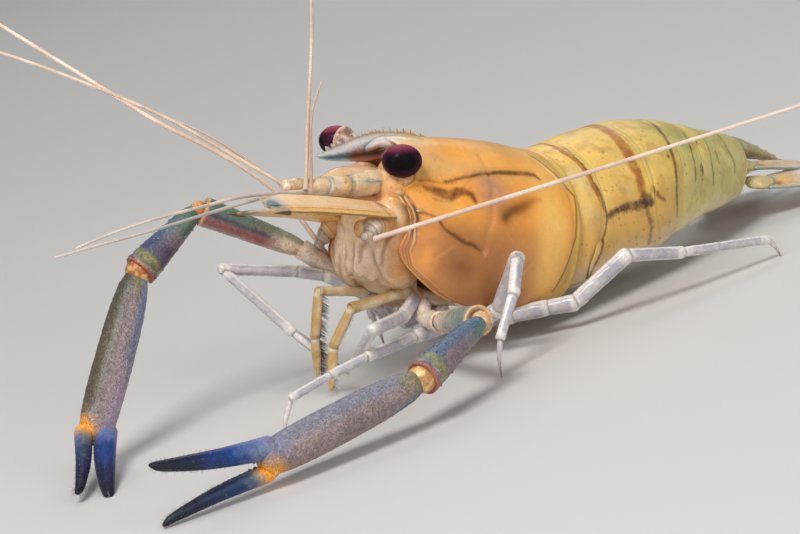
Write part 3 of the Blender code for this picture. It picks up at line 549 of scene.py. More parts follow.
# ----------------------------------------------------------------- carapace
TOP = [(-0.6, 0.5), (1, 0.95), (3, 1.1), (5, 1.15), (8, 1.12), (11, 0.95), (14, 0.5), (16, 0.3)]
WIDE = [(-0.6, 4.3), (1, 4.8), (3, 5.35), (5, 5.85), (8, 6.35), (11, 6.6), (14, 6.6), (16, 6.35)]
WAIST = [(-0.6, -5.3), (1, -5.6), (3, -6.1), (5, -6.4), (8, -6.5), (11, -6.4), (14, -6.1), (16, -5.9)]
HEM = [(-0.6, -9.6), (1.6, -10.8), (4.1, -11.5), (6, -11.9), (9, -12.1), (12, -11.9), (14.8, -11.4), (16, -11.2)]
HEM_X = [(-0.6, 3.9), (1.6, 4.3), (5, 4.6), (9, 4.7), (16, 4.8)]
FRONT = [(0, 0.9), (0.1, 1.2), (0.25, 1.4), (0.33, 0.95), (0.4, -0.65), (0.45, 0.0), (0.5, 0.25),
         (0.62, -0.4), (0.68, -0.65), (0.76, -0.2), (0.85, 1.5), (0.93, 3.0), (1, 5.0)]
HIND = [(0, 15.8), (0.5, 15.9), (0.7, 15.6), (0.85, 15.0), (1, 13.8)]

AMBER, BEIGE, GLOW = rgb(236, 176, 98), rgb(214, 172, 122), rgb(252, 172, 58)
SIDE_GLOW, PEACH, BROWN = rgb(244, 160, 58), rgb(186, 128, 74), rgb(146, 88, 46)
DARK, OLIVE_DARK = rgb(62, 38, 20), rgb(72, 56, 24)
CREAM, WHITE = rgb(240, 214, 176), rgb(238, 232, 226)


def shell_at(y, v):
    a = np.abs(v)
    top, wide, waist, hem, hem_x = (smooth(k, y) for k in (TOP, WIDE, WAIST, HEM, HEM_X))
    f = a * math.pi
    x = np.where(a < 0.5, wide * np.sin(f), hem_x + (wide - hem_x) * np.cos(f - math.pi / 2))
    z = np.where(a < 0.5, waist + (top - waist) * np.cos(f), waist - (waist - hem) * np.sin(f - math.pi / 2))
    return np.stack(np.broadcast_arrays(x * np.sign(v + 1e-9), y, z), axis=-1)


def across_mm(v):
    a = np.abs(v)
    return np.where(a < 0.5, 21 * a, 10.5 + 12 * (a - 0.5))


def vline(pts):
    return [(y, float(across_mm(v))) for y, v in pts]


STRIPE = vline([(3.35, .33), (4.96, .31), (6.85, .29), (8.71, .28), (10.79, .28), (12.12, .28), (12.57, .30)])
THREAD = vline([(3.9, .37), (5.2, .335), (6.0, .30), (6.6, .27)])
BLOTCH = vline([(1.59, .36), (2.61, .37), (3.54, .38), (4.35, .36), (5.01, .36), (5.53, .37), (5.71, .39)])
VEE = vline([(2.37, .47), (2.99, .5), (3.88, .52), (4.6, .54), (5.33, .55), (6.0, .57)])
DIAG = vline([(8.18, .44), (8.85, .42), (9.7, .41), (10.8, .39), (11.82, .38)])
FRONT_LINE = vline([(-.37, .4), (-.12, .43), (.22, .46), (.36, .49), (.29, .59), (-.07, .66), (.29, .76), (1.91, .82), (4.11, .94)])
HIND_LINE = vline([(13.53, .15), (14.42, .25), (15.62, .37), (15.5, .44), (15.35, .54), (14.64, .64), (13.48, .82)])
CREASES = [vline([(1.4, .70), (2.6, .63), (3.8, .56)]), vline([(6.3, .53), (6.9, .47)]), vline([(7.4, .74), (9.6, .70), (11.2, .60)])]


def carapace_paint(y, v, P):
    a = np.abs(v)
    m = across_mm(v)
    fog = cloud(P, 0.45, 11)
    grain = cloud(P, 3.2, 12)
    speck = value_noise(P, 9.0, 13)
    C = mix(np.broadcast_to(AMBER, P.shape), BEIGE, np.clip(patch(y, m, 2.4, 2.8, 2.6, 2.2) + 0.35 * step(0.5, 0.75, fog), 0, 1) * 0.8)
    C = mix(C, rgb(244, 208, 152), step(2.6, 0.6, y) * step(6.5, 3.5, m) * 0.8)
    C = mix(C, rgb(206, 172, 120), step(1.9, 0.4, m) * step(2.0, 5.0, y) * 0.55)
    C = mix(C, GLOW, np.clip(patch(y, m, 5.6, 3.4, 1.6, 1.2) * 0.9 + patch(y, m, 10.4, 5.0, 3.0, 0.9) * 0.55, 0, 1))
    side = step(6.2, 7.4, m + 0.8 * (fog - 0.5))
    C = mix(C, SIDE_GLOW, side * 0.85)
    C = mix(C, rgb(252, 186, 76), patch(y, m, 3.9, 9.0, 1.5, 1.5) * 0.8)
    C = mix(C, rgb(178, 138, 118), patch(y, m, 7.5, 7.6, 1.5, 1.7) * (0.65 + 0.35 * step(0.45, 0.6, grain)))
    C = mix(C, rgb(214, 146, 78), patch(y, m, 9.3, 8.6, 2.4, 1.2) * 0.5)
    low = step(9.2, 11.8, m + 1.4 * (fog - 0.5) + 0.9 * step(7.5, 4.0, y) - 1.2 * step(11, 13.5, y))
    C = mix(C, PEACH, low * 0.9)
    C = mix(C, rgb(214, 142, 80), low * patch(y, m, 1.2, 12.0, 1.6, 1.8) * 0.8)
    C = mix(C, rgb(140, 80, 44), low * np.clip(patch(y, m, 4.3, 12.4, 1.9, 0.9), 0, 1) * 0.75)
    C = mix(C, BROWN, low * np.clip(0.8 * patch(y, m, 8.0, 14.4, 3.4, 1.6) + 0.5 * patch(y, m, 7.4, 11.4, 1.4, 1.4), 0, 1) * 0.8)
    C = mix(C, rgb(254, 200, 110), np.clip(1.1 * patch(y, m, 12.9, 11.0, 1.7, 5.0), 0, 1) * 0.95)
    C = mix(C, rgb(250, 176, 92), patch(y, m, 1.6, 9.6, 1.4, 1.5) * 0.8)
    C = mix(C, rgb(236, 182, 108), patch(y, m, 3.2, 8.2, 1.0, 0.8) * 0.6)
    C = mix(C, rgb(228, 210, 190), step(2.0, 0.9, y) * step(3.4, 2.4, m) * 0.95)
    C = mix(C, rgb(252, 172, 90), patch(y, m, 1.3, 12.4, 1.1, 1.3) * 0.75)
    # blurred organs seen through the shell
    C = C * (0.86 + 0.28 * cloud(P, 0.55, 15))[..., None]
    C = C * (0.96 + 0.08 * grain)[..., None]
    # painted light of the creases: a painted highlight along each crease line with painted shade in a band on either
    # side; the creases have no relief of their own
    for pts in CREASES:
        d, w = line_distance(y, m, pts)
        fade = np.sin(math.pi * np.clip(w, 0.02, 0.98)) ** 0.7
        C = mix(C, rgb(240, 186, 130), np.exp(-(d / 0.12) ** 2) * 0.18 * fade)
        C = mix(C, C * 0.88, np.exp(-((d - 0.2) / 0.14) ** 2) * 0.4 * fade)
    X = np.zeros(P.shape)
    rough_edge = 0.12 * (grain - 0.5) + 0.05 * (speck - 0.5)

    def draw(C, X, pts, half, colour, strength, keys=None, soft=0.12, grains=0.0):
        d, w = line_distance(y + 0.25 * (cloud(P, 1.1, 21) - 0.5), m, pts)
        h = half * (smooth(keys, w) if keys else 1.0)
        k = step(h + soft, h - soft * 0.6, d + rough_edge) * strength * (0.72 + 0.28 * step(0.3, 0.6, cloud(P, 1.7, 23)))
        C = mix(C, colour, k * (1 - 0.45 * grains * step(0.42, 0.6, speck)))
        X[..., 2] = np.maximum(X[..., 2], k * grains)
        return C, X

    C, X = draw(C, X, STRIPE, 0.26, rgb(196, 118, 44), 0.45, [(0, 0.3), (0.3, 0.7), (0.6, 1.1), (0.9, 1.2), (1, 0.5)], 0.35, 0.1)
    C, X = draw(C, X, STRIPE, 0.13, rgb(84, 58, 24), 0.9, [(0, 0.35), (0.3, 0.75), (0.6, 1.1), (0.9, 1.3), (1, 0.6)], 0.1, 0.35)
    C, X = draw(C, X, THREAD, 0.04, rgb(120, 78, 34), 0.4, [(0, 1), (1, 0.1)], 0.14, 0.3)
    C, X = draw(C, X, vline([(1.0, .335), (2.0, .33), (3.3, .335), (4.4, .325)]), 0.05, rgb(140, 84, 34), 0.55, None, 0.12, 0.2)
    C, X = draw(C, X, vline([(2.2, .40), (3.4, .405), (4.6, .37), (5.6, .345)]), 0.04, rgb(168, 100, 40), 0.6, None, 0.12, 0.2)
    C, X = draw(C, X, BLOTCH, 0.3, rgb(116, 54, 20), 0.95, [(0, 0.4), (0.35, 1.2), (0.6, 0.9), (1, 0.4)], 0.22, 0.2)
    C, X = draw(C, X, vline([(2.4, .475), (3.0, .49), (4.0, .50), (4.9, .52)]), 0.2, rgb(196, 122, 44), 0.6, None, 0.3, 0.2)
    C, X = draw(C, X, VEE, 0.22, rgb(190, 116, 44), 0.4, [(0, 0.7), (0.5, 1.1), (1, 0.6)], 0.3, 0.1)
    C, X = draw(C, X, VEE, 0.08, rgb(92, 54, 20), 0.9, [(0, 0.6), (0.5, 1.3), (1, 0.5)], 0.12, 0.1)
    C, X = draw(C, X, vline([(0.35, .455), (1.0, .46), (2.1, .462), (2.5, .47)]), 0.06, rgb(120, 76, 34), 0.75, [(0, 1.4), (1, 0.7)], 0.14, 0.2)
    d, w = line_distance(y + 0.3 * (cloud(P, 1.1, 21) - 0.5), m, DIAG)
    smear = np.exp(-(d / (0.52 * smooth([(0, 1.2), (0.5, 1.0), (1, 0.5)], w))) ** 2) * smooth([(0, 1.0), (0.4, 0.9), (1, 0.35)], w)
    C = mix(C, rgb(176, 112, 44), smear * 0.7)
    C = mix(C, rgb(96, 56, 18), smear ** 2.2 * 0.8)
    d, _ = line_distance(y, m, FRONT_LINE)
    top_part = step(13.0, 10.6, m)
    C = mix(C, rgb(246, 222, 180), np.exp(-((d - 0.2) / 0.07) ** 2) * (0.25 + 0.45 * top_part))
    C = mix(C, rgb(60, 40, 22), np.exp(-((d - 0.06) / 0.05) ** 2) * 0.85 * top_part)
    C = mix(C, rgb(60, 40, 22), np.exp(-((d - 0.36) / 0.06) ** 2) * 0.7 * top_part)
    C = mix(C, rgb(140, 88, 44), np.exp(-((d - 0.12) / 0.06) ** 2) * 0.7 * (1 - top_part))
    C = mix(C, rgb(70, 40, 18), np.exp(-((d - 0.46) / 0.13) ** 2) * 0.9 * step(8.0, 8.7, m) * step(11.2, 10.2, m) * step(0.25, 0.5, cloud(P, 2.2, 29)))
    d, w = line_distance(y, m, HIND_LINE)
    beyond = step(-0.1, 0.1, y - np.interp(m, [q[1] for q in HIND_LINE], [q[0] for q in HIND_LINE]))
    C = mix(C, rgb(214, 176, 92), beyond * step(2.6, 4.0, m) * 0.85)
    C = mix(C, rgb(248, 222, 170), np.exp(-((d - 0.3) / 0.14) ** 2) * 0.6 * step(0.6, 0.15, w) * (1 - beyond))
    C = mix(C, rgb(96, 72, 24), np.exp(-(d / 0.075) ** 2) * 0.85)
    # pale hem, a painted edge highlight along the raised rim, with a thin brown line above it
    C = mix(C, rgb(120, 72, 40), np.exp(-((a - 0.965) / 0.012) ** 2) * 0.55)
    C = mix(C, rgb(236, 214, 188), step(0.972, 0.99, a) * 0.8)
    # fine scattered pigment cells over the whole shell
    dots = step(0.2, 0.12, cells(P, 1.7, 31)) * step(0.5, 0.7, fog)
    C = mix(C, rgb(130, 74, 38), dots * 0.3)
    X[..., 2] = np.maximum(X[..., 2], 0.04 + 0.06 * step(0.5, 0.7, fog))
    return np.clip(C, 0, 1), X


def make_carapace():
    nu, nv = 250, 380
    u = np.linspace(0, 1, nu)[:, None]
    v = np.linspace(-1, 1, nv)[None, :]
    a = np.abs(v)
    y = smooth(FRONT, a) * (1 - u) + smooth(HIND, a) * u
    v = np.broadcast_to(v, y.shape)
    B = shell_at(y, v)
    P = body(B[..., 0], B[..., 1], B[..., 2])
    m = across_mm(v)
    du, dv = np.gradient(P, axis=0), np.gradient(P, axis=1)
    N = unit(np.cross(du, dv))
    if (N[:, nv // 2, 2].mean()) < 0:
        N = -N
    edge_f = (y - smooth(FRONT, np.abs(v)))
    edge_h = (smooth(HIND, np.abs(v)) - y)
    D = 0.05 * (cloud(P, 0.6, 41) - 0.5) + 0.03 * (cloud(P, 2.4, 42) - 0.5)
    D += 0.07 * np.exp(-((edge_f - 0.12) / 0.16) ** 2) - 0.05 * np.exp(-((edge_f - 0.5) / 0.2) ** 2)
    D += 0.08 * np.exp(-((edge_h - 0.18) / 0.2) ** 2) - 0.06 * np.exp(-((edge_h - 0.7) / 0.25) ** 2)
    D += 0.09 * np.exp(-((np.abs(v) - 0.985) / 0.012) ** 2)
    groove, _ = line_distance(y, m, vline([(0.3, .50), (2.4, .51), (4.5, .545), (6.2, .57)]))
    D -= 0.13 * np.exp(-(groove / 0.25) ** 2)
    neck, _ = line_distance(y, m, vline([(6.2, .57), (7.0, .45), (7.6, .33), (7.9, .2)]))
    D -= 0.08 * np.exp(-(neck / 0.3) ** 2)
    swell, _ = line_distance(y, m, vline([(7.0, .70), (9.5, .68), (12.5, .66)]))
    D += 0.05 * np.exp(-(swell / 1.4) ** 2)
    P = P + N * D[..., None]
    C, X = carapace_paint(y, v, P)
    # the underside, level between the two hems
    hx, hy, hz = B[:, -1, 0], B[:, -1, 1], B[:, -1, 2]
    under = []
    for dx, dz in ((0.1, -0.04), (0.24, 0.04), (0.45, 0.25), (0.8, 0.55)):
        under.append(body(hx - dx, hy, hz + dz))
    for f in (0.75, 0.5, 0.25, 0.0):
        under.append(body(f * 4.6, hy, hz + 1.25))
    back = [np.stack([-q[:, 0], q[:, 1], q[:, 2]], 1) for q in under[:-1]][::-1]
    U = np.stack(under + back, axis=1)
    ring = np.concatenate([P, U], axis=1)
    CU = np.broadcast_to(rgb(226, 190, 150), U.shape)
    CC = np.concatenate([C, CU * (0.85 + 0.3 * cloud(U, 1.2, 44))[..., None]], axis=1)
    XX = np.concatenate([X, np.zeros(U.shape)], axis=1)
    hub = body(0, 3.9, -5.6)
    hub2 = body(0, 14.2, -5.6)
    def inner(r0, hub, back, steps):
        out = []
        axis = body(0, back, 0)
        centre = r0.mean(0)
        for f, g in steps:
            out.append(r0 + (centre - r0) * f + axis * g)
        return out
    first = inner(ring[0], hub, 1, ((0.012, -0.06), (0.035, 0.0), (0.05, 0.25), (0.12, 0.8), (0.5, 2.2)))[::-1]
    last = inner(ring[-1], hub2, -1, ((0.012, -0.05), (0.03, 0.02), (0.045, 0.3), (0.10, 0.9), (0.5, 1.4)))
    ring = np.concatenate([first, ring, last])
    shade = rgb(150, 96, 60)
    def rim(row, count, dark):
        return [mix(row, shade, np.full(row.shape[0], f)) for f in np.linspace(0.1, 1, count) ** dark]
    CC = np.concatenate([rim(CC[0], 5, 1)[::-1], CC, rim(CC[-1], 5, 1)])
    XX = np.concatenate([np.zeros((5,) + XX.shape[1:]), XX, np.zeros((5,) + XX.shape[1:])])
    piece = Piece("carapace_shell_skin")
    piece.add(*loft(ring), with_caps(CC), with_caps(XX))
    for k in (1, -1):
        for (yy, vv, ln, r) in ((-0.25, 0.39, 0.95, 0.26), (1.1, 0.455, 0.7, 0.2)):
            q = shell_at(np.array(yy), np.array(vv * k)) * np.array((0.985, 1, 1))
            cone(piece, body(*q), body(k * 0.28, -1, 0.05), ln, r, rgb(214, 160, 96), rgb(244, 226, 200), n=14, power=0.9)
    piece.make(SHELL, "carapace_shell", ("carapace",))


make_carapace()

# ------------------------------------------------------------------ rostrum
def fx(P, r=0.0, g=0.0, b=0.0):
    X = np.zeros(P.shape)
    X[..., 0], X[..., 1], X[..., 2] = r, g, b
    return X


TOOTH_Y = [5.2, 4.2, 3.5, 2.85, 2.15, 1.45, 0.7, 0.05, -0.65, -1.45, -2.35, -3.0, -3.6, -4.15]
CREST = [(-5.4, -0.52), (-4.6, -0.26), (-3.5, 0.14), (-2, 0.68), (-0.5, 1.14), (1, 1.38), (3, 1.38), (5, 1.18), (6.2, 1.0)]
KEEL = [(-5.4, -0.52), (-4.6, -0.80), (-3.2, -0.92), (-1.5, -0.9), (0, -0.78), (1, -0.6), (1.3, -0.2), (2.0, 0.1), (6.2, 0.3)]
setae = Piece("bristles_body")


def make_rostrum():
    teeth = sorted(TOOTH_Y)
    marks = [-5.4, 6.2]
    for t in teeth:
        marks += list(np.linspace(t - 0.16, t + 0.02, 7)) + list(np.linspace(t + 0.05, t + 0.5, 8))
    y = np.unique(np.round(np.concatenate([np.linspace(-5.4, 6.2, 170), marks]), 3))
    h = np.zeros_like(y)
    lean = np.zeros_like(y)
    for t in teeth:
        size = 0.46 if -2.6 < t < 4.6 else 0.32
        rise = np.where(y >= t - 0.05, np.clip(1 - (y - t + 0.05) / 0.46, 0, 1) ** 1.3, np.clip(1 - (t - 0.05 - y) / 0.1, 0, 1) ** 2)
        h = np.maximum(h, rise * size)
        lean = np.maximum(lean, rise)
    top = smooth(CREST, y)
    low = smooth(KEEL, y)
    n = 30
    s = (1 - np.cos(np.linspace(0, math.pi, n // 2 + 1))) / 2
    S = np.concatenate([s, s[::-1][1:-1]])
    K = np.concatenate([np.ones(len(s)), -np.ones(len(s) - 2)])
    Z = low[:, None] + (top + h - low)[:, None] * S[None]
    base = step(0.6, 2.4, y)[:, None]
    frac = (Z - low[:, None]) / np.maximum(top - low, 1e-3)[:, None]
    free = 0.05 + 0.2 * np.exp(-((frac - 0.42) / 0.2) ** 2) + 0.1 * np.clip(1 - frac, 0, 1)
    seat = 0.05 + 0.75 * np.clip(1 - frac, 0, 1) ** 2.2 + 0.1 * np.clip(1 - frac, 0, 1)
    w = free * (1 - base) + seat * base
    w = w * np.clip((y + 5.45) / 0.5, 0.1, 1)[:, None] ** 0.6
    w = w * np.where(S == 0, 0.0, 1.0)[None] * np.where(S == 1, 0.0, 1.0)[None]
    yy = y[:, None] - (lean * 0.1)[:, None] * np.clip((frac - 0.85) / 0.2, 0, 1.6)
    P = body(K[None] * w, yy, Z)
    fr = np.clip(frac, 0, 1.3)
    grain = cloud(P, 3.5, 51)
    C = mix(np.broadcast_to(rgb(206, 202, 200), P.shape), rgb(232, 224, 216), step(0.4, 0.65, grain) * 0.6)
    C = mix(C, rgb(240, 232, 230), step(0.42, 0.62, fr) * step(-3.8, -1.6, yy) * 0.7)
    C = mix(C, rgb(230, 212, 184), step(-1.0, 1.5, yy) * 0.8)
    C = mix(C, rgb(240, 202, 140), step(1.8, 4.5, yy) * 0.85)
    edge = fr + 0.06 * (grain - 0.5)
    C = mix(C, rgb(150, 190, 192), step(0.62, 0.45, edge) * step(-1.6, -3.2, yy) * 0.85)
    C = mix(C, rgb(44, 96, 122), np.exp(-((edge - 0.27) / 0.17) ** 2) * step(-0.9, -2.0, yy) * step(-5.2, -4.4, yy) * 0.95)
    C = mix(C, rgb(20, 40, 52), np.exp(-((edge - 0.42) / 0.06) ** 2) * step(-1.2, -2.2, yy) * step(-5.0, -4.0, yy) * 0.6)
    C = mix(C, rgb(150, 74, 34), step(0.66, 0.45, edge) * step(-2.8, -1.6, yy) * step(1.6, 0.8, yy) * 0.85)
    C = mix(C, rgb(18, 14, 14), np.exp(-((edge - 0.26) / 0.11) ** 2) * step(-2.9, -1.7, yy) * step(1.6, 0.6, yy) * 0.92)
    C = mix(C, rgb(70, 60, 52), np.exp(-((edge - 0.63) / 0.05) ** 2) * step(-2.6, -1.4, yy) * step(1.2, 0.4, yy) * 0.5)
    C = mix(C, rgb(132, 88, 50), np.exp(-((fr - 1.0) / 0.07) ** 2) * 0.85)
    C = mix(C, rgb(244, 232, 216), np.clip(lean[:, None] ** 3 * step(1.05, 1.22, frac), 0, 1) * 0.85)
    X = np.zeros(P.shape)
    X[..., 2] = 0.25
    piece = Piece("rostrum_blade_skin")
    piece.add(*loft(P), with_caps(C), with_caps(X))
    # side keels that widen the blade back into the brow of the shell
    t = np.linspace(0, 1, 70)
    yk = -3.4 + 7.2 * t
    half = smooth([(0, 0.03), (0.3, 0.22), (0.5, 0.55), (0.62, 0.95), (0.75, 1.45), (0.88, 1.8), (1, 1.9)], t)
    high = smooth([(0, 0.05), (0.3, 0.3), (0.6, 0.55), (1, 0.5)], t)
    mid = smooth([(0, -0.42), (0.35, -0.1), (0.6, 0.5), (0.8, 0.6), (1, 0.56)], t)
    th = np.linspace(0, 2 * math.pi, 48, endpoint=False)
    K2 = body(half[:, None] * np.cos(th), yk[:, None] + 0 * th, mid[:, None] + high[:, None] * np.sin(th))
    g2 = cloud(K2, 3.0, 53)
    CK = mix(np.broadcast_to(rgb(216, 208, 204), K2.shape), rgb(232, 218, 202), step(0.4, 0.65, g2) * 0.6)
    CK = mix(CK, rgb(240, 206, 152), np.repeat(step(0.62, 0.9, t)[:, None], 48, 1) * 0.9)
    under = step(0.5, -0.05, np.sin(th))[None] * np.ones((70, 1))
    CK = mix(CK, rgb(150, 74, 34), under * np.repeat(step(0.62, 0.5, t)[:, None], 48, 1) * 0.8)
    CK = mix(CK, rgb(26, 20, 18), np.exp(-((np.sin(th) + 0.55) / 0.22) ** 2)[None] * np.repeat((step(0.66, 0.52, t) * step(0.05, 0.2, t))[:, None], 48, 1) * 0.85)
    piece.add(*loft(K2), with_caps(CK), with_caps(fx(K2, b=0.2)))
    piece.make(BLADE, "rostrum_blade", ("rostrum",))
    # a row of fine hairs stands between the teeth, leaning forwards
    base, way, uv = [], [], []
    for a, b in zip(teeth, teeth[1:]):
        for f in np.linspace(0.3, 0.92, 7):
            yb = a + (b - a) * f
            base.append(body(0, yb, float(smooth(CREST, yb)) + 0.0))
            way.append(body(RNG.uniform(-0.12, 0.12), -0.75, 0.75))
            uv.append((0.02 + 0.06 * (yb + 6) / 12, 0.5))
    needles(setae, base, way, RNG.uniform(0.28, 0.42, len(base)), 0.013, rgb(216, 186, 150), uv)


make_rostrum()

# --------------------------------------------------------------------- eyes
EYE_CENTRE = {"L": (3.92, -0.12, -0.92), "R": (-4.0, 0.0, 0.82)}
EYE_RADII = (1.46, 1.56, 1.27)


def make_eye(s):
    k, c = SIGN[s], EYE_CENTRE[s]
    na, nb = 90, 120
    lat = np.linspace(0.02, math.pi - 0.02, na)[:, None]
    lon = np.linspace(0, 2 * math.pi, nb, endpoint=False)[None]
    lx, ly, lz = -np.cos(lat) * np.ones_like(lon), np.sin(lat) * np.cos(lon), np.sin(lat) * np.sin(lon)
    # local x runs outwards along the stalk
    size = 1.0 if s == "L" else 0.92
    P = body(c[0] + k * lx * EYE_RADII[0] * size, c[1] + ly * EYE_RADII[1] * size, c[2] + lz * EYE_RADII[2] * size)
    grain = cloud(P, 5.0, 61)
    fine = value_noise(P, 16.0, 62)
    centre = np.exp(-(((lz + 0.12) / 0.42) ** 2 + ((ly + 0.5) / 0.6) ** 2)) * step(-0.3, 0.2, lx)
    C = np.broadcast_to(rgb(50, 16, 38), P.shape)
    C = mix(C, rgb(78, 26, 56), step(0.45, 0.75, grain) * 0.4)
    C = mix(C, rgb(104, 40, 84), step(0.66, 0.84, fine) * 0.3)
    up = lz - 0.15 * ly + 0.08 * (grain - 0.5)
    C = mix(C, rgb(140, 54, 76), step(0.5, 0.82, up) * 0.85)
    C = mix(C, rgb(176, 92, 108), step(0.84, 0.98, up) * 0.4)
    C = mix(C, rgb(4, 2, 5), np.clip(centre * 2.6, 0, 1) * step(0.58, 0.4, up) * 0.98)
    C = mix(C, rgb(30, 10, 24), step(-0.5, -0.9, lz) * 0.5)
    back = -0.80 * lx + 0.60 * ly + 0.06 * (grain - 0.5)
    C = mix(C, mix(np.broadcast_to(rgb(196, 150, 132), P.shape), rgb(132, 84, 74), step(0.5, 0.7, fine)), step(0.84, 0.89, back))
    C = mix(C, rgb(214, 160, 140), np.exp(-((back - 0.83) / 0.03) ** 2) * 0.4)
    X = np.zeros(P.shape)
    X[..., 0] = step(0.84, 0.8, back)
    X[..., 1] = 1.0 * step(0.82, 0.88, back)
    Piece("eye_globe_" + s).add(*loft(P), with_caps(C), with_caps(X)).make(EYE, "eye_dark", ("eye_" + s,))
    root = body(k * 0.9, 0.6, (-1.15 if s == "L" else -0.1) + 0.35 * c[2])
    end = body(*c) - body(k * 0.62, 0, 0)
    way = end - root
    t = np.linspace(0, 1, 60)
    r = smooth([(0, 0.5), (0.25, 0.6), (0.45, 0.68), (0.62, 0.78), (0.8, 0.98), (0.93, 1.12), (1.0, 1.14)], t)
    P = tube(root + way * t[:, None], r, 48)
    T = np.repeat(t[:, None], 48, 1)
    P = P + unit(P - (root + way * t[:, None])[:, None]) * (0.05 * (cloud(P, 2.5, 64) - 0.5) - 0.07 * np.exp(-((T - 0.5) / 0.04) ** 2))[..., None]
    grain = cloud(P, 3.0, 63)
    C = mix(np.broadcast_to(rgb(244, 190, 122) if s == "L" else rgb(190, 150, 132), P.shape), rgb(232, 168, 104) if s == "L" else rgb(140, 104, 92), step(0.4, 0.65, grain))
    C = mix(C, rgb(236, 220, 204), step(0.22, 0.12, cells(P, 3.2, 66)) * 0.8)
    C = mix(C, rgb(238, 206, 176), step(0.9, 0.97, T) * 0.5)
    X = np.zeros(P.shape)
    X[..., 2] = 0.35
    Piece("eye_stalk_skin_" + s).add(*loft(P), with_caps(C), with_caps(X)).make(FLESH, "eyestalk_tan", ("eyestalk_" + s,))


for s in SIGN:
    make_eye(s)


# ------------------------------------------------- feelers and their stalks
def limb_segment(piece, p, q, side, keys, paint, n=36, step_mm=0.09, ratio=1.0, bow=0.0, start="ball", end="socket", rough=0.0, seed=1, bumps=None):
    P, T, TH, R = turned(p, q, side, keys, n, step_mm, ratio, bow, start, end, rough, seed)
    if bumps is not None:
        P = P + normals_of(P) * bumps(P, T, TH)[..., None]
    C, X = paint(P, T, TH)
    piece.add(*loft(P), with_caps(C), with_caps(X))
    return P, T, TH


def stalk_paint(base, dark, pale, specks=0.5, seed=71):
    def paint(P, T, TH):
        grain = cloud(P, 1.6, seed)
        C = mix(np.broadcast_to(base, P.shape), pale, step(0.45, 0.7, grain) * 0.6)
        C = mix(C, dark, step(0.26, 0.14, cells(P, 3.4, seed + 1)) * specks)
        C = mix(C, dark, np.exp(-((T - 0.93) / 0.035) ** 2) * 0.65)
        C = mix(C, pale, np.exp(-((T - 1.0) / 0.03) ** 2) * 0.8)
        return C, fx(P, b=0.3)
    return paint


def ped_paint(P, T, TH):
    grain = cloud(P, 1.4, 71)
    C = mix(np.broadcast_to(rgb(238, 204, 160), P.shape), rgb(246, 226, 200), step(0.4, 0.7, grain) * 0.7)
    C = mix(C, rgb(240, 178, 116), step(0.5, 0.72, cloud(P, 0.8, 73)) * 0.5)
    near = np.exp(-((T - 0.95) / 0.13) ** 2) + 0.7 * np.exp(-((T - 0.45) / 0.08) ** 2)
    specks = step(0.5, 0.3, cells(P, 3.0, 72)) * step(0.45, 0.6, cloud(P, 1.3, 74))
    C = mix(C, rgb(78, 74, 46), np.clip(specks * near * 1.2, 0, 1) * step(-0.2, 0.4, np.sin(TH) + 0.4) * 0.85)
    C = mix(C, rgb(66, 44, 30), np.exp(-((T - 1.0) / 0.02) ** 2) * 0.2)
    return C, fx(P, b=0.35)


for s, k in SIGN.items():
    piece = Piece("antennule_stalk_skin_" + s)
    J = [body(k * 1.25, -0.3, -2.4), body(k * 1.5, -3.4, -2.75), body(k * 1.55, -5.3, -2.85), body(k * 1.5, -6.9, -2.85)]
    across = np.array((1.0, 0, 0))
    limb_segment(piece, J[0], J[1], across, [(0, 1.0), (0.3, 1.0), (0.75, 0.92), (1, 0.82)], ped_paint, 48, 0.07, 0.95, rough=0.14, end="ball")
    limb_segment(piece, J[1], J[2], across, [(0, 0.76), (0.5, 0.8), (1, 0.78)], ped_paint, 44, 0.06, 0.95, rough=0.16, seed=2, end="ball")
    limb_segment(piece, J[2], J[3], across, [(0, 0.64), (0.5, 0.68), (1, 0.62)], ped_paint, 44, 0.06, 0.95, rough=0.16, seed=3, end="ball")
    P, T, S, F = leaf(body(k * 1.75, -0.6, -2.5), body(k * 0.12, -1, -0.02), body(k, 0, 0), 2.4, [(0, 0.3, 0.5), (0.4, 0.35, 0.55), (0.8, 0.2, 0.3), (1, 0.05, 0.06)], 0.3, 0.1)
    C = mix(np.broadcast_to(rgb(226, 188, 138), P.shape), rgb(244, 224, 196), np.abs(S) ** 3 * 0.8)
    piece.add(*loft(P), with_caps(C), with_caps(fx(P, b=0.2)))
    piece.make(FLESH, "head_cream", ("antennule_stalk_" + s,))
    base, way = [], []
    for j in range(1, 4):
        for a in np.linspace(-0.3, math.pi + 0.3, 22):
            base.append(J[j] + body(k * 0.62 * math.cos(a) * (1.25 - 0.14 * j), 0.12, 0.6 * math.sin(a) * (1.25 - 0.14 * j)))
            way.append(body(k * 0.45 * math.cos(a) + RNG.normal(0, 0.15), -0.75, 0.5 * math.sin(a) + RNG.normal(0, 0.15)))
    needles(setae, base, way, RNG.uniform(0.3, 0.55, len(base)), 0.012, rgb(226, 200, 168), (0.1, 0.3 + 0.1 * k))

ANTENNULE_OUTER = {
    "L": ((1.6, -7.95, -0.15), [(4.0, 168, 72), (3.6, 158, 72), (6.2, 142, 78), (6.0, 168, 66), (6.0, 178, 48)]),
    "R": ((-1.65, -7.85, -0.1), [(7.6, -27, 45), (5.0, -31, 38), (4.2, -38, 36), (7.0, -45, 31), (7.0, -64, 20)]),
}
ANTENNULE_INNER = {
    "L": ((1.25, -8.35, -0.75), [(3.5, 0, 14), (3.9, -3, 5), (3.9, -6, 5), (4.5, -10, 0), (4.0, -12, -6)]),
    "R": ((-1.1, -8.35, -0.75), [(4.4, -3, 4), (3.0, -4, 3), (3.8, -7, 3), (3.6, -8, 4), (5.0, -16, 2)]),
}
ANTENNULE_SHORT = {
    "L": ((1.95, -7.7, -0.2), [(3.2, 160, 76), (1.6, 150, 70), (1.5, 128, 58), (1.4, 112, 52)]),
    "R": ((-1.95, -7.7, -0.2), [(4.2, -26, 50), (3.4, -29, 40), (3.2, -27, 30)]),
}
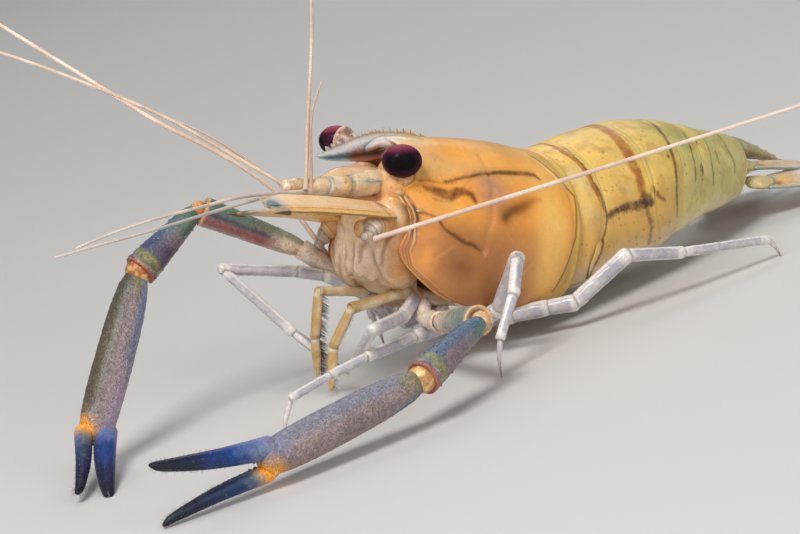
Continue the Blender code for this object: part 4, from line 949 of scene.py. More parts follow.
ANTENNA_WHIP = {
    "L": ((4.85, -4.15, -5.45), [(5.0, 158, 0), (30.5, 163, -0.6), (12.0, 158, -5), (10.0, 150, -8)]),
    "R": ((-4.98, -3.0, -6.7), [(3.1, -41, 68), (3.3, -10, 50), (7.6, -30, 41), (4.7, -56, 44), (4.8, -62, 41), (7.1, -66, 40), (14.0, -86, 24), (12.0, -104, 6)]),
}


def whip(piece, root, pieces, r0, r1, base, band, pitch=0.14, thick=1.0, start=0.0, n=10):
    pts = sweep(root, pieces, 0.25)
    if start:
        pts = np.concatenate([[pts[0] - unit(pts[1] - pts[0]) * start], pts])
    length = np.linalg.norm(np.diff(pts, axis=0), axis=1).sum()
    d = np.concatenate([[0], np.cumsum(np.linalg.norm(np.diff(pts, axis=0), axis=1))])
    s = np.linspace(0, length, int(length / (pitch / 4)))
    P0 = np.stack([np.interp(s, d, pts[:, i]) for i in range(3)], 1)
    f = s / length
    r = (r0 + (r1 - r0) * f ** 0.8) * (1 + 0.2 * np.exp(-s / 0.8))
    wave = np.cos(2 * math.pi * s / pitch)
    r = r * (1 + 0.05 * np.clip(wave, -0.4, 1))
    r[-3:] *= (0.8, 0.5, 0.15)
    P = tube(P0, r, n)
    W = np.repeat(wave[:, None], n, 1)
    S = np.repeat(s[:, None], n, 1)
    C = mix(np.broadcast_to(base, P.shape), band, step(0.1, -0.8, W) * 0.38)
    C = mix(C, band, step(0.5, 0.62, value_noise(P, 0.6, 81)) * 0.35)
    C = mix(C, rgb(236, 220, 206), step(0.4, 1.0, np.repeat(f[:, None], n, 1)) * 0.35)
    piece.add(*loft(P), with_caps(C), with_caps(fx(P, b=0.1)))
    return P0, s


for s in SIGN:
    root, pieces = ANTENNULE_OUTER[s]
    piece = Piece("antennule_outer_skin_" + s)
    whip(piece, root, pieces, 0.16, 0.10, rgb(240, 220, 198), rgb(180, 142, 116), start=0.5)
    root, pieces = ANTENNULE_SHORT[s]
    whip(piece, root, pieces, 0.13, 0.07, rgb(220, 190, 164), rgb(160, 120, 98), start=0.4)
    piece.make(WHIP, "feeler_pink", ("antennule_outer_" + s,))
    root, pieces = ANTENNULE_INNER[s]
    piece = Piece("antennule_inner_skin_" + s)
    whip(piece, root, pieces, 0.15, 0.10, rgb(206, 196, 190) if s == "R" else rgb(226, 206, 190), rgb(140, 124, 120), start=0.5)
    piece.make(WHIP, "feeler_pink", ("antennule_inner_" + s,))
    root, pieces = ANTENNA_WHIP[s]
    piece = Piece("antenna_whip_skin_" + s)
    whip(piece, root, pieces, 0.2, 0.115, rgb(244, 224, 206), rgb(196, 150, 124), pitch=0.15, start=1.25, n=12)
    piece.make(WHIP, "feeler_pink", ("antenna_whip_" + s,))

KNOB = stalk_paint(rgb(196, 176, 156), rgb(112, 92, 78), rgb(232, 214, 190), 0.7, 75)
BASEJ = stalk_paint(rgb(232, 172, 104), rgb(150, 100, 60), rgb(242, 208, 160), 0.3, 77)
for s, k in SIGN.items():
    piece = Piece("antenna_stalk_skin_" + s)
    if s == "L":
        lumps = [((2.6, -0.4, -5.6), (3.3, -2.4, -5.95), 0.95, 0.95, BASEJ), ((3.25, -3.0, -6.0), (3.3, -3.45, -6.05), 0.72, 0.7, BASEJ),
                 ((3.95, -2.9, -5.95), (4.0, -3.15, -6.1), 0.74, 0.74, KNOB), ((4.15, -3.6, -6.6), (4.3, -4.0, -6.62), 0.42, 0.36, KNOB)]
    else:
        lumps = [((-3.0, -0.6, -5.4), (-3.5, -1.2, -6.0), 0.85, 0.8, BASEJ), ((-3.7, -1.3, -6.2), (-3.9, -1.45, -6.7), 0.62, 0.56, KNOB),
                 ((-4.1, -1.5, -7.0), (-4.3, -1.6, -7.2), 0.4, 0.34, KNOB)]
    for i, (p, q, r0, r1, paint) in enumerate(lumps):
        limb_segment(piece, body(*p), body(*q), (0, 0, 1), [(0, r0), (0.5, (r0 + r1) / 2), (1, r1)], paint, 48, 0.05, 1.0, rough=0.08, seed=4 + i, end="ball")
        if i:
            hub, axis = body(*q), unit(body(*q) - body(*p))
            th = np.linspace(0, 2 * math.pi, 40, endpoint=False)
            u1 = unit(np.cross(axis, (0.1, 0.2, 1)))
            u2 = np.cross(axis, u1)
            P = tube((hub + axis * r1 * 0.35)[None] + (u1 * np.cos(th)[:, None] + u2 * np.sin(th)[:, None]) * r1 * 0.93, np.full(40, 0.035), 8)
            piece.add(*loft(np.concatenate([P, P[:1]])), with_caps(np.broadcast_to(rgb(156, 138, 122) if paint is KNOB else rgb(214, 150, 92), (41, 8, 3))), with_caps(np.zeros((41, 8, 3))))
    piece.make(FLESH, "head_cream", ("antenna_stalk_" + s,))

SCALE_WIDTHS = [(0.0, 1.3, 0.95), (0.06, 1.55, 1.03), (0.4, 1.75, 1.08), (0.75, 1.85, 1.0), (0.9, 1.4, 0.9), (0.97, 0.9, 0.6), (1.0, 0.5, 0.3)]


def make_scale(s):
    k = SIGN[s]
    base = body(k * 3.55, -1.0 if s == "L" else -0.6, -4.8 if s == "L" else -5.35)
    turn = 4 if s == "L" else 9
    along = unit(body(math.sin(math.radians(turn)), -math.cos(math.radians(turn)), 0.025 if s == "L" else 0.045))
    tilted = body(k * 1.0, 0, -0.56 if s == "L" else -0.1)
    across = unit(tilted - along * np.dot(tilted, along))
    length = 12.6 if s == "L" else 10.7

    def ridge(t, q):
        fade = step(0.0, 0.12, t) * step(1.0, 0.9, t)
        return fade * (0.09 * np.exp(-((q - 0.55) / 0.1) ** 2) + 0.05 * np.exp(-((q - 0.1) / 0.14) ** 2))
    P, T, S, F = leaf(base, along, across, length, SCALE_WIDTHS, 0.42, 0.2, 200, 60, 0.3, ridge, wave=0.08)
    grain = cloud(P, 1.1, 91)
    fine = cloud(P * np.array((3.0, 0.7, 3.0)), 2.5, 92)
    C = mix(np.broadcast_to(rgb(242, 198, 142), P.shape), rgb(246, 216, 176), step(0.4, 0.65, grain) * 0.6)
    C = mix(C, rgb(240, 182, 96), step(0.3, 0.75, S) * 0.75)
    C = mix(C, rgb(240, 188, 136), step(0.5, 0.0, T) * 0.4)
    C = mix(C, rgb(224, 176, 118), step(0.5, 0.7, fine) * 0.2)
    if s == "R":
        C = mix(C, rgb(250, 190, 92), np.full(T.shape, 0.7))
    line = np.exp(-((S - 0.62) / 0.035) ** 2) + np.exp(-((S - 0.3) / 0.03) ** 2) * 0.6 + np.exp(-((S + 0.3) / 0.03) ** 2) * 0.3
    C = mix(C, rgb(136, 104, 56), np.clip(line * step(0.03, 0.15, T) * step(1, 0.85, T), 0, 1) * 0.5)
    C = mix(C, rgb(86, 80, 44), step(0.88, 0.96, S) * step(1.0, 0.9, T) * 0.8)
    C = mix(C, rgb(168, 160, 148), step(0.78, 0.9, T - 0.03 * S) * 0.7)
    C = mix(C, rgb(16, 80, 96), np.clip(1.6 * patch(T, S, 0.94, -0.1, 0.05, 0.6), 0, 1) * 0.95)
    C = mix(C, rgb(30, 36, 48), np.exp(-((T - 0.985) / 0.012) ** 2) * 0.7)
    C = mix(C, rgb(88, 78, 50), step(-0.93, -0.98, S) * step(0.95, 0.5, T) * 0.6)
    C = mix(C, rgb(56, 44, 40), patch(T, S, 0.03, -0.5, 0.025, 0.3) * 0.85)
    C = mix(C, rgb(120, 100, 70), np.exp(-((T - 0.06) / 0.012) ** 2) * 0.5)
    piece = Piece("antennal_scale_skin_" + s)
    piece.add(*loft(P), with_caps(C), with_caps(fx(P, b=0.22)))
    cone(piece, base + along * (length * 0.86) + across * 0.86, along * 1.0 + across * 0.1, 1.75, 0.2, rgb(96, 72, 46), rgb(30, 24, 26), power=0.8)
    piece.make(BLADE, "scale_amber", ("antennal_scale_" + s,))
    # a fringe along the inner edge and round the tip
    t = RNG.uniform(0.18, 0.99, 320)
    w = smooth([(a, b) for a, b, _ in SCALE_WIDTHS], t) * np.sqrt(np.clip(1 - ((t - 0.93) / 0.07).clip(0, 1) ** 2, 0.02, 1))
    base_p = base + along * (length * t)[:, None] - across * (w * 0.98)[:, None] + unit(np.cross(along, across)) * RNG.normal(0, 0.015, (320, 1))
    way = -across * (1 - 0.6 * step(0.9, 1, t))[:, None] + along * (0.5 + 1.2 * step(0.88, 1.0, t))[:, None]
    room = 1.0 if s == "L" else 0.85
    needles(setae, base_p, way, RNG.uniform(0.25, 0.45, 320) * room, 0.011, rgb(236, 200, 156), np.stack([0.2 + 0.1 * t, np.full(320, 0.3 + 0.1 * k)], 1))


for s in SIGN:
    make_scale(s)


# --------------------------------------------- head, mouth and chest, one skin
def remeshed(shells, voxel, smooth_steps=6):
    """One closed skin over several overlapping shells (each rings of points)."""
    V, F, n = [], [], 0
    for P in shells:
        v, q, t = loft(np.asarray(P))
        V.append(v)
        F += [tuple(int(i) for i in r + n) for r in q] + [tuple(int(i) for i in r + n) for r in t]
        n += len(v)
    mesh = bpy.data.meshes.new("tmp")
    mesh.from_pydata([tuple(p) for p in np.concatenate(V)], [], F)
    obj = bpy.data.objects.new("tmp", mesh)
    bpy.context.scene.collection.objects.link(obj)
    m = obj.modifiers.new("r", "REMESH")
    m.mode, m.voxel_size = "VOXEL", voxel
    sm = obj.modifiers.new("s", "SMOOTH")
    sm.factor, sm.iterations = 0.6, smooth_steps
    bpy.context.view_layer.update()
    out = bpy.data.meshes.new_from_object(obj.evaluated_get(bpy.context.evaluated_depsgraph_get()))
    co = np.empty(len(out.vertices) * 3)
    out.vertices.foreach_get("co", co)
    Q = np.array([tuple(p.vertices) for p in out.polygons if len(p.vertices) == 4], np.int64).reshape(-1, 4)
    T = np.array([tuple(p.vertices) for p in out.polygons if len(p.vertices) == 3], np.int64).reshape(-1, 3)
    bpy.data.objects.remove(obj, do_unlink=True)
    bpy.data.meshes.remove(out)
    return co.reshape(-1, 3), Q, T


def hoop(centre, a, b, n=32):
    th = np.linspace(0, 2 * math.pi, n, endpoint=False)
    return np.stack([body(centre[0] + a * math.cos(t), centre[1], centre[2] + b * math.sin(t)) for t in th])


FOLDS = ((1.25, -7.4, 0.16, 1.5, 0.3), (2.2, -8.7, 0.18, 1.3, -0.3), (0.5, -8.3, 0.13, 1.4, 0.05), (3.0, -7.6, 0.16, 1.3, 0.3))


def make_head():
    HEAD = [(-0.15, 1.6, 1.3, -3.9), (0.2, 2.35, 2.0, -3.9), (0.9, 2.5, 2.15, -4.2), (1.7, 2.3, 2.0, -5.2), (2.6, 2.1, 2.0, -6.6)]
    MOUTH = [(-1.7, 0.5, 0.45, -8.3), (-1.3, 1.5, 1.2, -8.3), (-0.4, 2.2, 1.8, -8.3), (0.8, 2.45, 1.7, -8.7), (2.0, 2.2, 1.3, -9.4), (3.2, 1.9, 1.2, -10.3)]
    LINK = [(0.6, 1.6, 1.6, -4.6), (0.7, 1.7, 1.8, -6.0), (0.8, 1.8, 1.9, -7.2), (0.8, 1.9, 1.4, -8.4)]
    STERN = [(2.4, 1.2, 0.9, -10.2), (3.4, 1.5, 0.55, -10.6), (4.6, 1.7, 0.45, -10.9), (7, 1.9, 0.42, -11.45), (10, 2.0, 0.42, -11.5), (12.6, 1.65, 0.42, -11.3), (13.3, 0.8, 0.36, -11.2)]
    shells = []
    for table in (HEAD, MOUTH, LINK, STERN):
        t = np.linspace(0, 1, 40)
        x = np.linspace(0, 1, len(table))
        cols = [np.interp(t, x, [r[i] for r in table]) for i in range(4)]
        if table is LINK:
            shells.append(np.stack([body(a * np.cos(np.linspace(0, 2 * math.pi, 32, endpoint=False)), y + 0.9 * np.sin(np.linspace(0, 2 * math.pi, 32, endpoint=False)), z)
                                    for y, a, b, z in zip(*cols)]))
        else:
            shells.append(np.stack([hoop((0, y, z), a, b) for y, a, b, z in zip(*cols)]))
    # leg sockets along the chest and folded jaws round the mouth
    for k in (1, -1):
        for yy, zz, r in ((3.6, -10.9, 0.5), (5.6, -11.3, 0.5), (7.7, -11.5, 0.5), (9.9, -11.5, 0.48), (11.8, -11.4, 0.42)):
            shells.append(np.stack([hoop((k * (1.0 + 0.55 * f), yy + 0.3 * f, zz - 0.15 * f), r * (1.0 - 0.5 * abs(f - 0.5)), r * (0.9 - 0.5 * abs(f - 0.5)), 16) for f in np.linspace(0, 1, 6)]))
        for i, (x, y, z, a, b) in enumerate(((0.9, -1.2, -8.9, 0.55, 0.9), (1.5, -0.5, -9.2, 0.5, 1.0), (1.95, 0.3, -9.5, 0.42, 0.95))):
            shells.append(np.stack([hoop((k * (x - 0.4 * f), y - 0.9 * f, z + 0.2 * f), a * math.sin(math.pi * (0.12 + 0.8 * f)), b * math.sin(math.pi * (0.12 + 0.8 * f)), 18) for f in np.linspace(0, 1, 9)]))
    def ball(x, y, z, a, b, c):
        return np.stack([hoop((x, y + b * math.cos(q), z), a * math.sin(q), c * math.sin(q), 28) for q in np.linspace(0.08, math.pi - 0.08, 16)])
    for k in (1, -1):
        shells.append(ball(k * 2.1, 1.0, -2.6, 2.0, 1.7, 1.8))
        shells.append(ball(k * 2.2, 0.6, -5.6, 1.6, 1.9, 2.4))
        shells.append(ball(k * 2.3, 0.6, -7.8, 2.0, 1.95, 2.7))
    shells.append(ball(0, -1.3, -2.35, 1.45, 3.3, 1.2))
    shells.append(ball(0, 1.5, -7.9, 3.9, 2.5, 3.1))
    shells.append(ball(0, 0.2, -7.6, 2.4, 2.3, 2.6))
    shells.append(ball(0, 0.0, -5.2, 2.6, 2.0, 1.9))
    V, Q, T = remeshed(shells, 0.11, 14)
    B = to_body(V)
    grain = cloud(V, 1.2, 101)
    x, y, z = np.abs(B[:, 0]), B[:, 1], B[:, 2]
    soft = cloud(V, 0.7, 102)
    # folds of the jaws that lie over one another, pressed into the front
    relief = np.zeros(len(V))
    for cx, cz, width, height, tilt in FOLDS:
        q = (x - cx - tilt * (z - cz) + 0.5 * (soft - 0.5)) / width
        relief += (0.10 * np.exp(-(q - 2.0) ** 2 / 2.4) - 0.09 * np.exp(-q ** 2)) * np.exp(-((z - cz) / height) ** 4) * step(2.2, 1.0, y)
    push = unit(B - np.array((0.0, 1.5, -7.9))) * relief[:, None]
    V = V + body(push[:, 0], push[:, 1], push[:, 2]) - body(0, 0, 0)
    C = mix(np.broadcast_to(rgb(230, 186, 132), V.shape), rgb(240, 208, 164), step(0.4, 0.65, grain) * 0.6)
    C = mix(C, rgb(244, 196, 150), step(-4.4, -3.2, z) * 0.8)
    C = mix(C, rgb(246, 174, 96), step(-4.6, -3.4, z) * step(-1.6, 0.2, y) * 0.7)
    C = mix(C, rgb(250, 214, 176), step(-2.6, -1.6, z + 0.6 * (soft - 0.5)) * 0.5)
    C = mix(C, rgb(244, 220, 192), step(-5.2, -6.4, z) * step(-0.2, -1.4, y) * 0.75)
    C = mix(C, rgb(206, 138, 76), step(-5.6, -6.6, z) * step(-10.4, -9.0, z) * step(-1.1, 0.1, y) * 0.8)
    # muscle bands seen through the cheek
    bands = 0.5 + 0.5 * np.sin(z * 5.5 + 1.2 * y + 4.0 * (soft - 0.5))
    C = mix(C, rgb(162, 98, 48), bands ** 2 * step(-6.2, -7.0, z) * step(-9.8, -9.0, z) * step(-0.6, 0.4, y) * 0.6)
    threads = 0.5 + 0.5 * np.sin(z * 21.0 + 2.5 * y + 6.0 * (soft - 0.5))
    C = mix(C, rgb(150, 96, 54), threads ** 3 * step(-6.0, -6.8, z) * step(-10.0, -9.2, z) * step(-1.0, 0.0, y) * 0.25)
    C = mix(C, rgb(226, 190, 150), step(-8.8, -10.0, z) * 0.5)
    # painted shade along each fold line and painted highlight on the ridge beside it, over the fold relief
    for fx0, fz, fw, fh, ft in FOLDS:
        q = (x - fx0 - ft * (z - fz) + 0.5 * (soft - 0.5)) / fw
        C = mix(C, rgb(160, 112, 72), np.exp(-q ** 2) * np.exp(-((z - fz) / fh) ** 4) * step(2.2, 1.0, y) * 0.5)
        C = mix(C, rgb(252, 232, 206), np.exp(-(q - 2.2) ** 2) * np.exp(-((z - fz) / fh) ** 4) * step(2.2, 1.0, y) * 0.5)
    C = mix(C, rgb(206, 138, 76), step(2.4, 3.6, x) * step(-5.6, -6.4, z) * step(-10.4, -9.4, z) * 0.6)
    C = mix(C, rgb(130, 112, 80), step(0.3, 0.16, cells(V, 2.2, 103)) * step(-4.5, -3.0, z) * step(0.5, 0.62, soft) * 0.5)
    C = mix(C, rgb(214, 190, 160), step(3.0, 4.5, y) * 0.7)
    X = np.zeros(V.shape)
    X[:, 2] = 0.3
    piece = Piece("head_mouth_chest_skin")
    piece.add(V, Q, T, C, X)
    piece.make(FLESH, "head_cream", ("head", "mouthparts", "sternum"))


make_head()

# -------------------------------------------------------------- third jaws
JAW = {
    "L": ((1.6, -1.9, -10.85), [(4.9, 1, 5), (3.2, -33, -51), (3.3, -17, -72)]),
    "R": ((-1.45, -3.4, -10.2), [(4.1, 5.8, 18.3), (3.56, -39.8, -72.1), (3.1, -75, -77.5)]),
}


def jaw_paint(P, T, TH):
    grain = cloud(P, 1.8, 111)
    C = mix(np.broadcast_to(rgb(216, 188, 140), P.shape), rgb(232, 212, 178), step(0.4, 0.62, grain))
    C = mix(C, rgb(190, 146, 64), np.exp(-((np.cos(TH) - 0.95) / 0.45) ** 2) * 0.75)
    C = mix(C, rgb(196, 140, 70), np.exp(-((T - 0.97) / 0.05) ** 2) * 0.6)
    C = mix(C, rgb(250, 238, 220), np.exp(-((T - 0.06) / 0.05) ** 2) * 0.7)
    C = mix(C, rgb(130, 84, 54), step(0.2, 0.12, cells(P, 3.6, 113)) * 0.4)
    return C, fx(P, b=0.2)


for s, (root, pieces) in JAW.items():
    k = SIGN[s]
    J = walk(root, pieces)
    J[0] = J[0] - unit(J[1] - J[0]) * 0.9
    piece = Piece("third_jaw_skin_" + s)
    R = [[(0, 0.4), (0.2, 0.44), (0.6, 0.42), (1, 0.46)], [(0, 0.36), (0.4, 0.42), (1, 0.42)], [(0, 0.36), (0.35, 0.4), (0.8, 0.26), (1, 0.13)]]
    for i in range(3):
        limb_segment(piece, J[i], J[i + 1], (0, -1, 0.3), R[i], jaw_paint, 34, 0.07, 0.85, rough=0.05, end="ball" if i == 2 else "socket", seed=i)
    piece.make(FLESH, "jaw_cream", ("maxilliped_" + s,))
    for i, (count, inner) in ((1, (150, 1)), (2, (190, 1))):
        axis = unit(J[i + 1] - J[i])
        back = unit(np.array((-k * 0.55, 0.85, 0.0)) - axis * np.dot((-k * 0.55, 0.85, 0.0), axis))
        third = np.cross(axis, back)
        t = RNG.uniform(0.1, 1.0, count)
        row = np.round(RNG.uniform(-1, 1, count)) * 0.5
        way = back[None] * 1.0 + third[None] * row[:, None] + axis * 0.55
        q = J[i] + (J[i + 1] - J[i]) * t[:, None] + unit(back[None] + third[None] * row[:, None]) * (0.36 - 0.1 * (i - 1) * t)[:, None]
        needles(setae, q, way, RNG.uniform(0.45, 0.8, count), 0.016, rgb(78, 52, 38), (0.4, 0.3 + 0.1 * k))

# ------------------------------------------------------------- walking legs
PALE, CORE = rgb(232, 226, 224), rgb(172, 176, 194)


def leg_paint(tone=0.0, seed=121):
    warm = rgb(222, 200, 184)

    def paint(P, T, TH):
        grain = cloud(P, 1.5, seed)
        C = mix(np.broadcast_to(mix(rgb(184, 182, 190), warm, np.array(tone)), P.shape), rgb(204, 198, 196), step(0.35, 0.65, grain) * 0.7)
        C = mix(C, rgb(160, 156, 168), step(0.5, 0.7, cloud(P, 0.9, seed + 2)) * 0.45 * step(0.1, 0.3, T) * step(0.95, 0.8, T))
        C = mix(C, rgb(140, 146, 168), np.exp(-((np.abs(np.cos(TH)) - 0.6) / 0.12) ** 2) * 0.4 * step(0.08, 0.2, T) * step(0.97, 0.85, T))
        # painted highlight: pale top and bottom edges of each leg segment, for light through the clear shell at its
        # outline
        C = mix(C, rgb(240, 234, 230), step(0.7, 0.95, np.abs(np.cos(TH))) * 0.8)
        C = mix(C, rgb(240, 234, 228), (step(0.16, 0.03, T) + step(0.84, 0.97, T)) * 0.8)
        C = mix(C, rgb(214, 176, 140), np.exp(-((T - 0.985) / 0.012) ** 2) * 0.25)
        return C, fx(P, b=0.1)
    return paint


def claw_paint(P, T, TH):
    C = mix(np.broadcast_to(rgb(214, 206, 204), P.shape), rgb(132, 92, 62), step(0.45, 1.0, T) * 0.9)
    return C, fx(P, b=0.1)


def leg_hairs(a, b, radius, count, k, length=0.4, colour=rgb(226, 214, 204)):
    axis = unit(b - a)
    side = unit(np.cross(axis, (0.2, 0.1, 1)))
    other = np.cross(axis, side)
    t = RNG.uniform(0.12, 1.0, count)
    th = RNG.uniform(0, 2 * math.pi, count)
    out = side * np.cos(th)[:, None] + other * np.sin(th)[:, None]
    needles(setae, a + (b - a) * t[:, None] + out * radius * 0.96, out + axis * 0.9, RNG.uniform(0.5, 1.0, count) * length, 0.011, colour,
            np.stack([0.5 + 0.1 * t, 0.3 + 0.1 * k + 0.02 * np.sin(th)], 1))


LEG = {
    ("3", "L"): ((2.75, 0.75, -13.5), [(1.1, 23, -44), (2.7, 4, 6), (5.3, 5, 2), (3.5, -5, -4), (3.9, -5, -7), (2.9, -9, -60)]),
    ("3", "R"): ((-2.75, 0.75, -13.35), [(1.1, -70, -46), (4.5, -110, 23), (2.5, -132, -53), (2.9, -149, -67)]),
    ("4", "L"): ((3.0, 3.3, -14.35), [(1.5, 64, -10), (2.3, 105, 20), (5.1, 98, 52), (3.1, 26, -43), (3.7, 9, -45), (2.7, 0, -72)]),
    ("4", "R"): ((-3.0, 3.3, -14.35), [(1.5, -64, -10), (2.3, -105, 20), (4.6, -112, 42), (3.2, -150, -40), (2.6, -165, -50), (1.9, -170, -70)]),
    ("5", "L"): ((3.1, 5.8, -15.35), [(1.4, 94, 6), (2.8, 139, -1), (2.2, 133, -2), (5.4, 147, 28), (5.0, 168, -15), (8.6, 173, -11), (1.8, 178, -58)]),
    ("5", "R"): ((-3.1, 5.8, -15.35), [(1.4, -94, 6), (2.8, -139, -1), (2.2, -133, -2), (5.4, -147, 28), (5.0, -168, -15), (8.0, -172, -11), (1.8, -176, -58)]),
}
THICK = {"3": [0.55, 0.5, 0.43, 0.34, 0.3, 0.27], "4": [0.6, 0.55, 0.55, 0.5, 0.38, 0.27], "5": [0.6, 0.55, 0.55, 0.58, 0.48, 0.36, 0.27]}
for (pair, s), (root, pieces) in LEG.items():
    k = SIGN[s]
    thick = THICK[pair][-len(pieces):] if pair == "3" and s == "R" else THICK[pair]
    thick = thick + [0.25]
    J = walk(root, pieces)
    J[-1][2] = FLOOR + 0.02
    J[0] = J[0] - unit(J[1] - J[0]) * 0.5
    piece = Piece("leg%s_skin_%s" % (pair, s))
    last = len(pieces) - 1
    paint = leg_paint(0.25 if (pair, s) == ("3", "R") else 0.05 * int(pair), 120 + int(pair))
    for i in range(len(pieces)):
        a, b = thick[i] * 1.16, 0.5 * (thick[i] + thick[i + 1]) * 1.18
        if i == last:
            limb_segment(piece, J[i], J[i + 1], UP, [(0, 0.2), (0.3, 0.23), (0.7, 0.13), (1, 0.045)], claw_paint, 24, 0.06, 0.9, bow=0.16, end="ball")
        else:
            keys = [(0, a * 0.84), (0.12, a * 0.93), (0.45, (a + b) * 0.47), (0.85, b), (1, b * 1.0)]
            limb_segment(piece, J[i], J[i + 1], UP, keys, paint, 36, 0.08, 0.95, rough=0.07, seed=i, end="ball")
            leg_hairs(J[i], J[i + 1], (a + b) / 2, int(9 * np.linalg.norm(J[i + 1] - J[i])), k)
    leg_hairs(J[last - 1] * 0.35 + J[last] * 0.65, J[last], thick[last] * 0.9, 26, k, 0.45)
    piece.make(GLASS, "leg_glass", ("leg%s_%s" % (pair, s),))

LEG1 = {
    "L": ((2.2, -1.35, -11.75), [(2.2, 26, -12), (5.4, 24, 6), (5.0, -104, -34)], (2.8, -92, -24)),
    "R": ((-1.55, -2.1, -11.2), [(4.0, -47.6, 38.8), (2.02, -49.7, 21.2), (6.16, -22, 18.6), (7.2, 118, -52)], (5.4, 142, -52)),
}
LEG1_RADII = {"L": [(0.58, 0.56), (0.56, 0.52), (0.46, 0.5)], "R": [(0.46, 0.46), (0.5, 0.5), (0.5, 0.45), (0.4, 0.42)]}
for s, (root, pieces, claw) in LEG1.items():
    k = SIGN[s]
    J = walk(root, pieces)
    length, az, el = claw
    along = direction(az, el)
    piece = Piece("leg1_skin_" + s)
    J[0] = J[0] - unit(J[1] - J[0]) * 0.5
    paint = leg_paint(0.15, 131)
    for i, (a, b) in enumerate(LEG1_RADII[s]):
        limb_segment(piece, J[i], J[i + 1], UP, [(0, a * 0.86), (0.15, a * 0.95), (0.5, (a + b) * 0.47), (0.88, b), (1, b)], paint, 36, 0.08, 0.95, rough=0.07, seed=i, end="ball")
        leg_hairs(J[i], J[i + 1], (a + b) / 2, int(8 * np.linalg.norm(J[i + 1] - J[i])), k, 0.35)
    out = unit(np.cross(along, UP))
    e = J[-1]
    half = length * 0.5
    limb_segment(piece, e - along * 0.05, e + along * half, out, [(0, 0.28), (0.25, 0.42), (0.7, 0.45), (1, 0.38)], paint, 34, 0.07, 0.85, end="ball")
    for side, ln in ((1, 1.0), (-1, 1.0)):
        pts = spline([e + along * (half * 0.8) + out * 0.16 * side, e + along * (half + 0.22 * length) + out * 0.24 * side,
                      e + along * (half + 0.38 * length) + out * 0.2 * side, e + along * (half + 0.5 * length) + out * 0.05 * side], 40)
        r = smooth([(0, 0.22), (0.3, 0.2), (0.75, 0.14), (1, 0.04)], np.linspace(0, 1, 40))
        P = tube(pts, r, 22)
        T = np.repeat(np.linspace(0, 1, 40)[:, None], 22, 1)
        C, X = paint(P, T * 0.8, T)
        C = mix(C, rgb(214, 164, 110), step(0.8, 1.0, T) * 0.5)
        piece.add(*loft(P), with_caps(C), with_caps(X))
        n = 46
        t = RNG.uniform(0.35, 1, n)
        q = pts[(t * 39).astype(int)]
        needles(setae, q, along + RNG.normal(0, 0.55, (n, 3)), RNG.uniform(0.3, 0.6, n), 0.011, rgb(222, 206, 190), (0.6, 0.3 + 0.1 * k))
    piece.make(GLASS, "leg_glass", ("leg1_" + s,))

# -------------------------------------------------------- the long claw arms
ARMS = {
    "L": ((2.75, -0.8, -12.35), [(0.9, 30, -42), (3.1, 73, 0), (8.0, 73, 7), (8.2, 9, -13), (13.3, -10, -6)]),
    "R": ((-3.27, -0.55, -12.2), [(1.2, -5, 50), (2.2, -5, 55), (4.14, -51.3, 46.6), (8.7, -33, 36), (7.0, -9, -27), (12.9, 8, -50)]),
}
GAP = 0.34
FINGERS = {"L": ((9.41, -6, 11.5), (8.9, -16, -6), 0.77), "R": ((8.8, 50, -19), (8.5, 46, -19), 0.8)}
MAUVE, SLATE, TEAL = rgb(140, 124, 126), rgb(104, 104, 112), rgb(84, 124, 120)
NAVY, BLUE, LILAC = rgb(20, 24, 56), rgb(58, 82, 156), rgb(158, 146, 176)
MAGENTA, ORANGE, PINKISH = rgb(158, 58, 82), rgb(240, 130, 48), rgb(206, 164, 150)


def arm_bumps(amount):
    def bumps(P, T, TH):
        c = cells(P, 3.6, 141)
        return amount * (step(0.5, 0.05, c) - 0.2) + 0.04 * (cloud(P, 0.8, 143) - 0.5)
    return bumps


def joint_glow(C, P, centre, reach):
    """Orange that fades outwards round a finger joint."""
    d = np.linalg.norm(P - np.asarray(centre), axis=-1) + 0.35 * (cloud(P, 2.2, 159) - 0.5)
    reach = reach * 1.18
    C = mix(C, rgb(206, 156, 96), step(reach * 1.6, reach, d) * 0.7)
    C = mix(C, rgb(255, 168, 44), step(reach * 1.12, reach * 0.8, d) * 0.97)
    return mix(C, rgb(222, 96, 24), np.exp(-((d - reach * 0.45) / 0.08) ** 2) * 0.5)


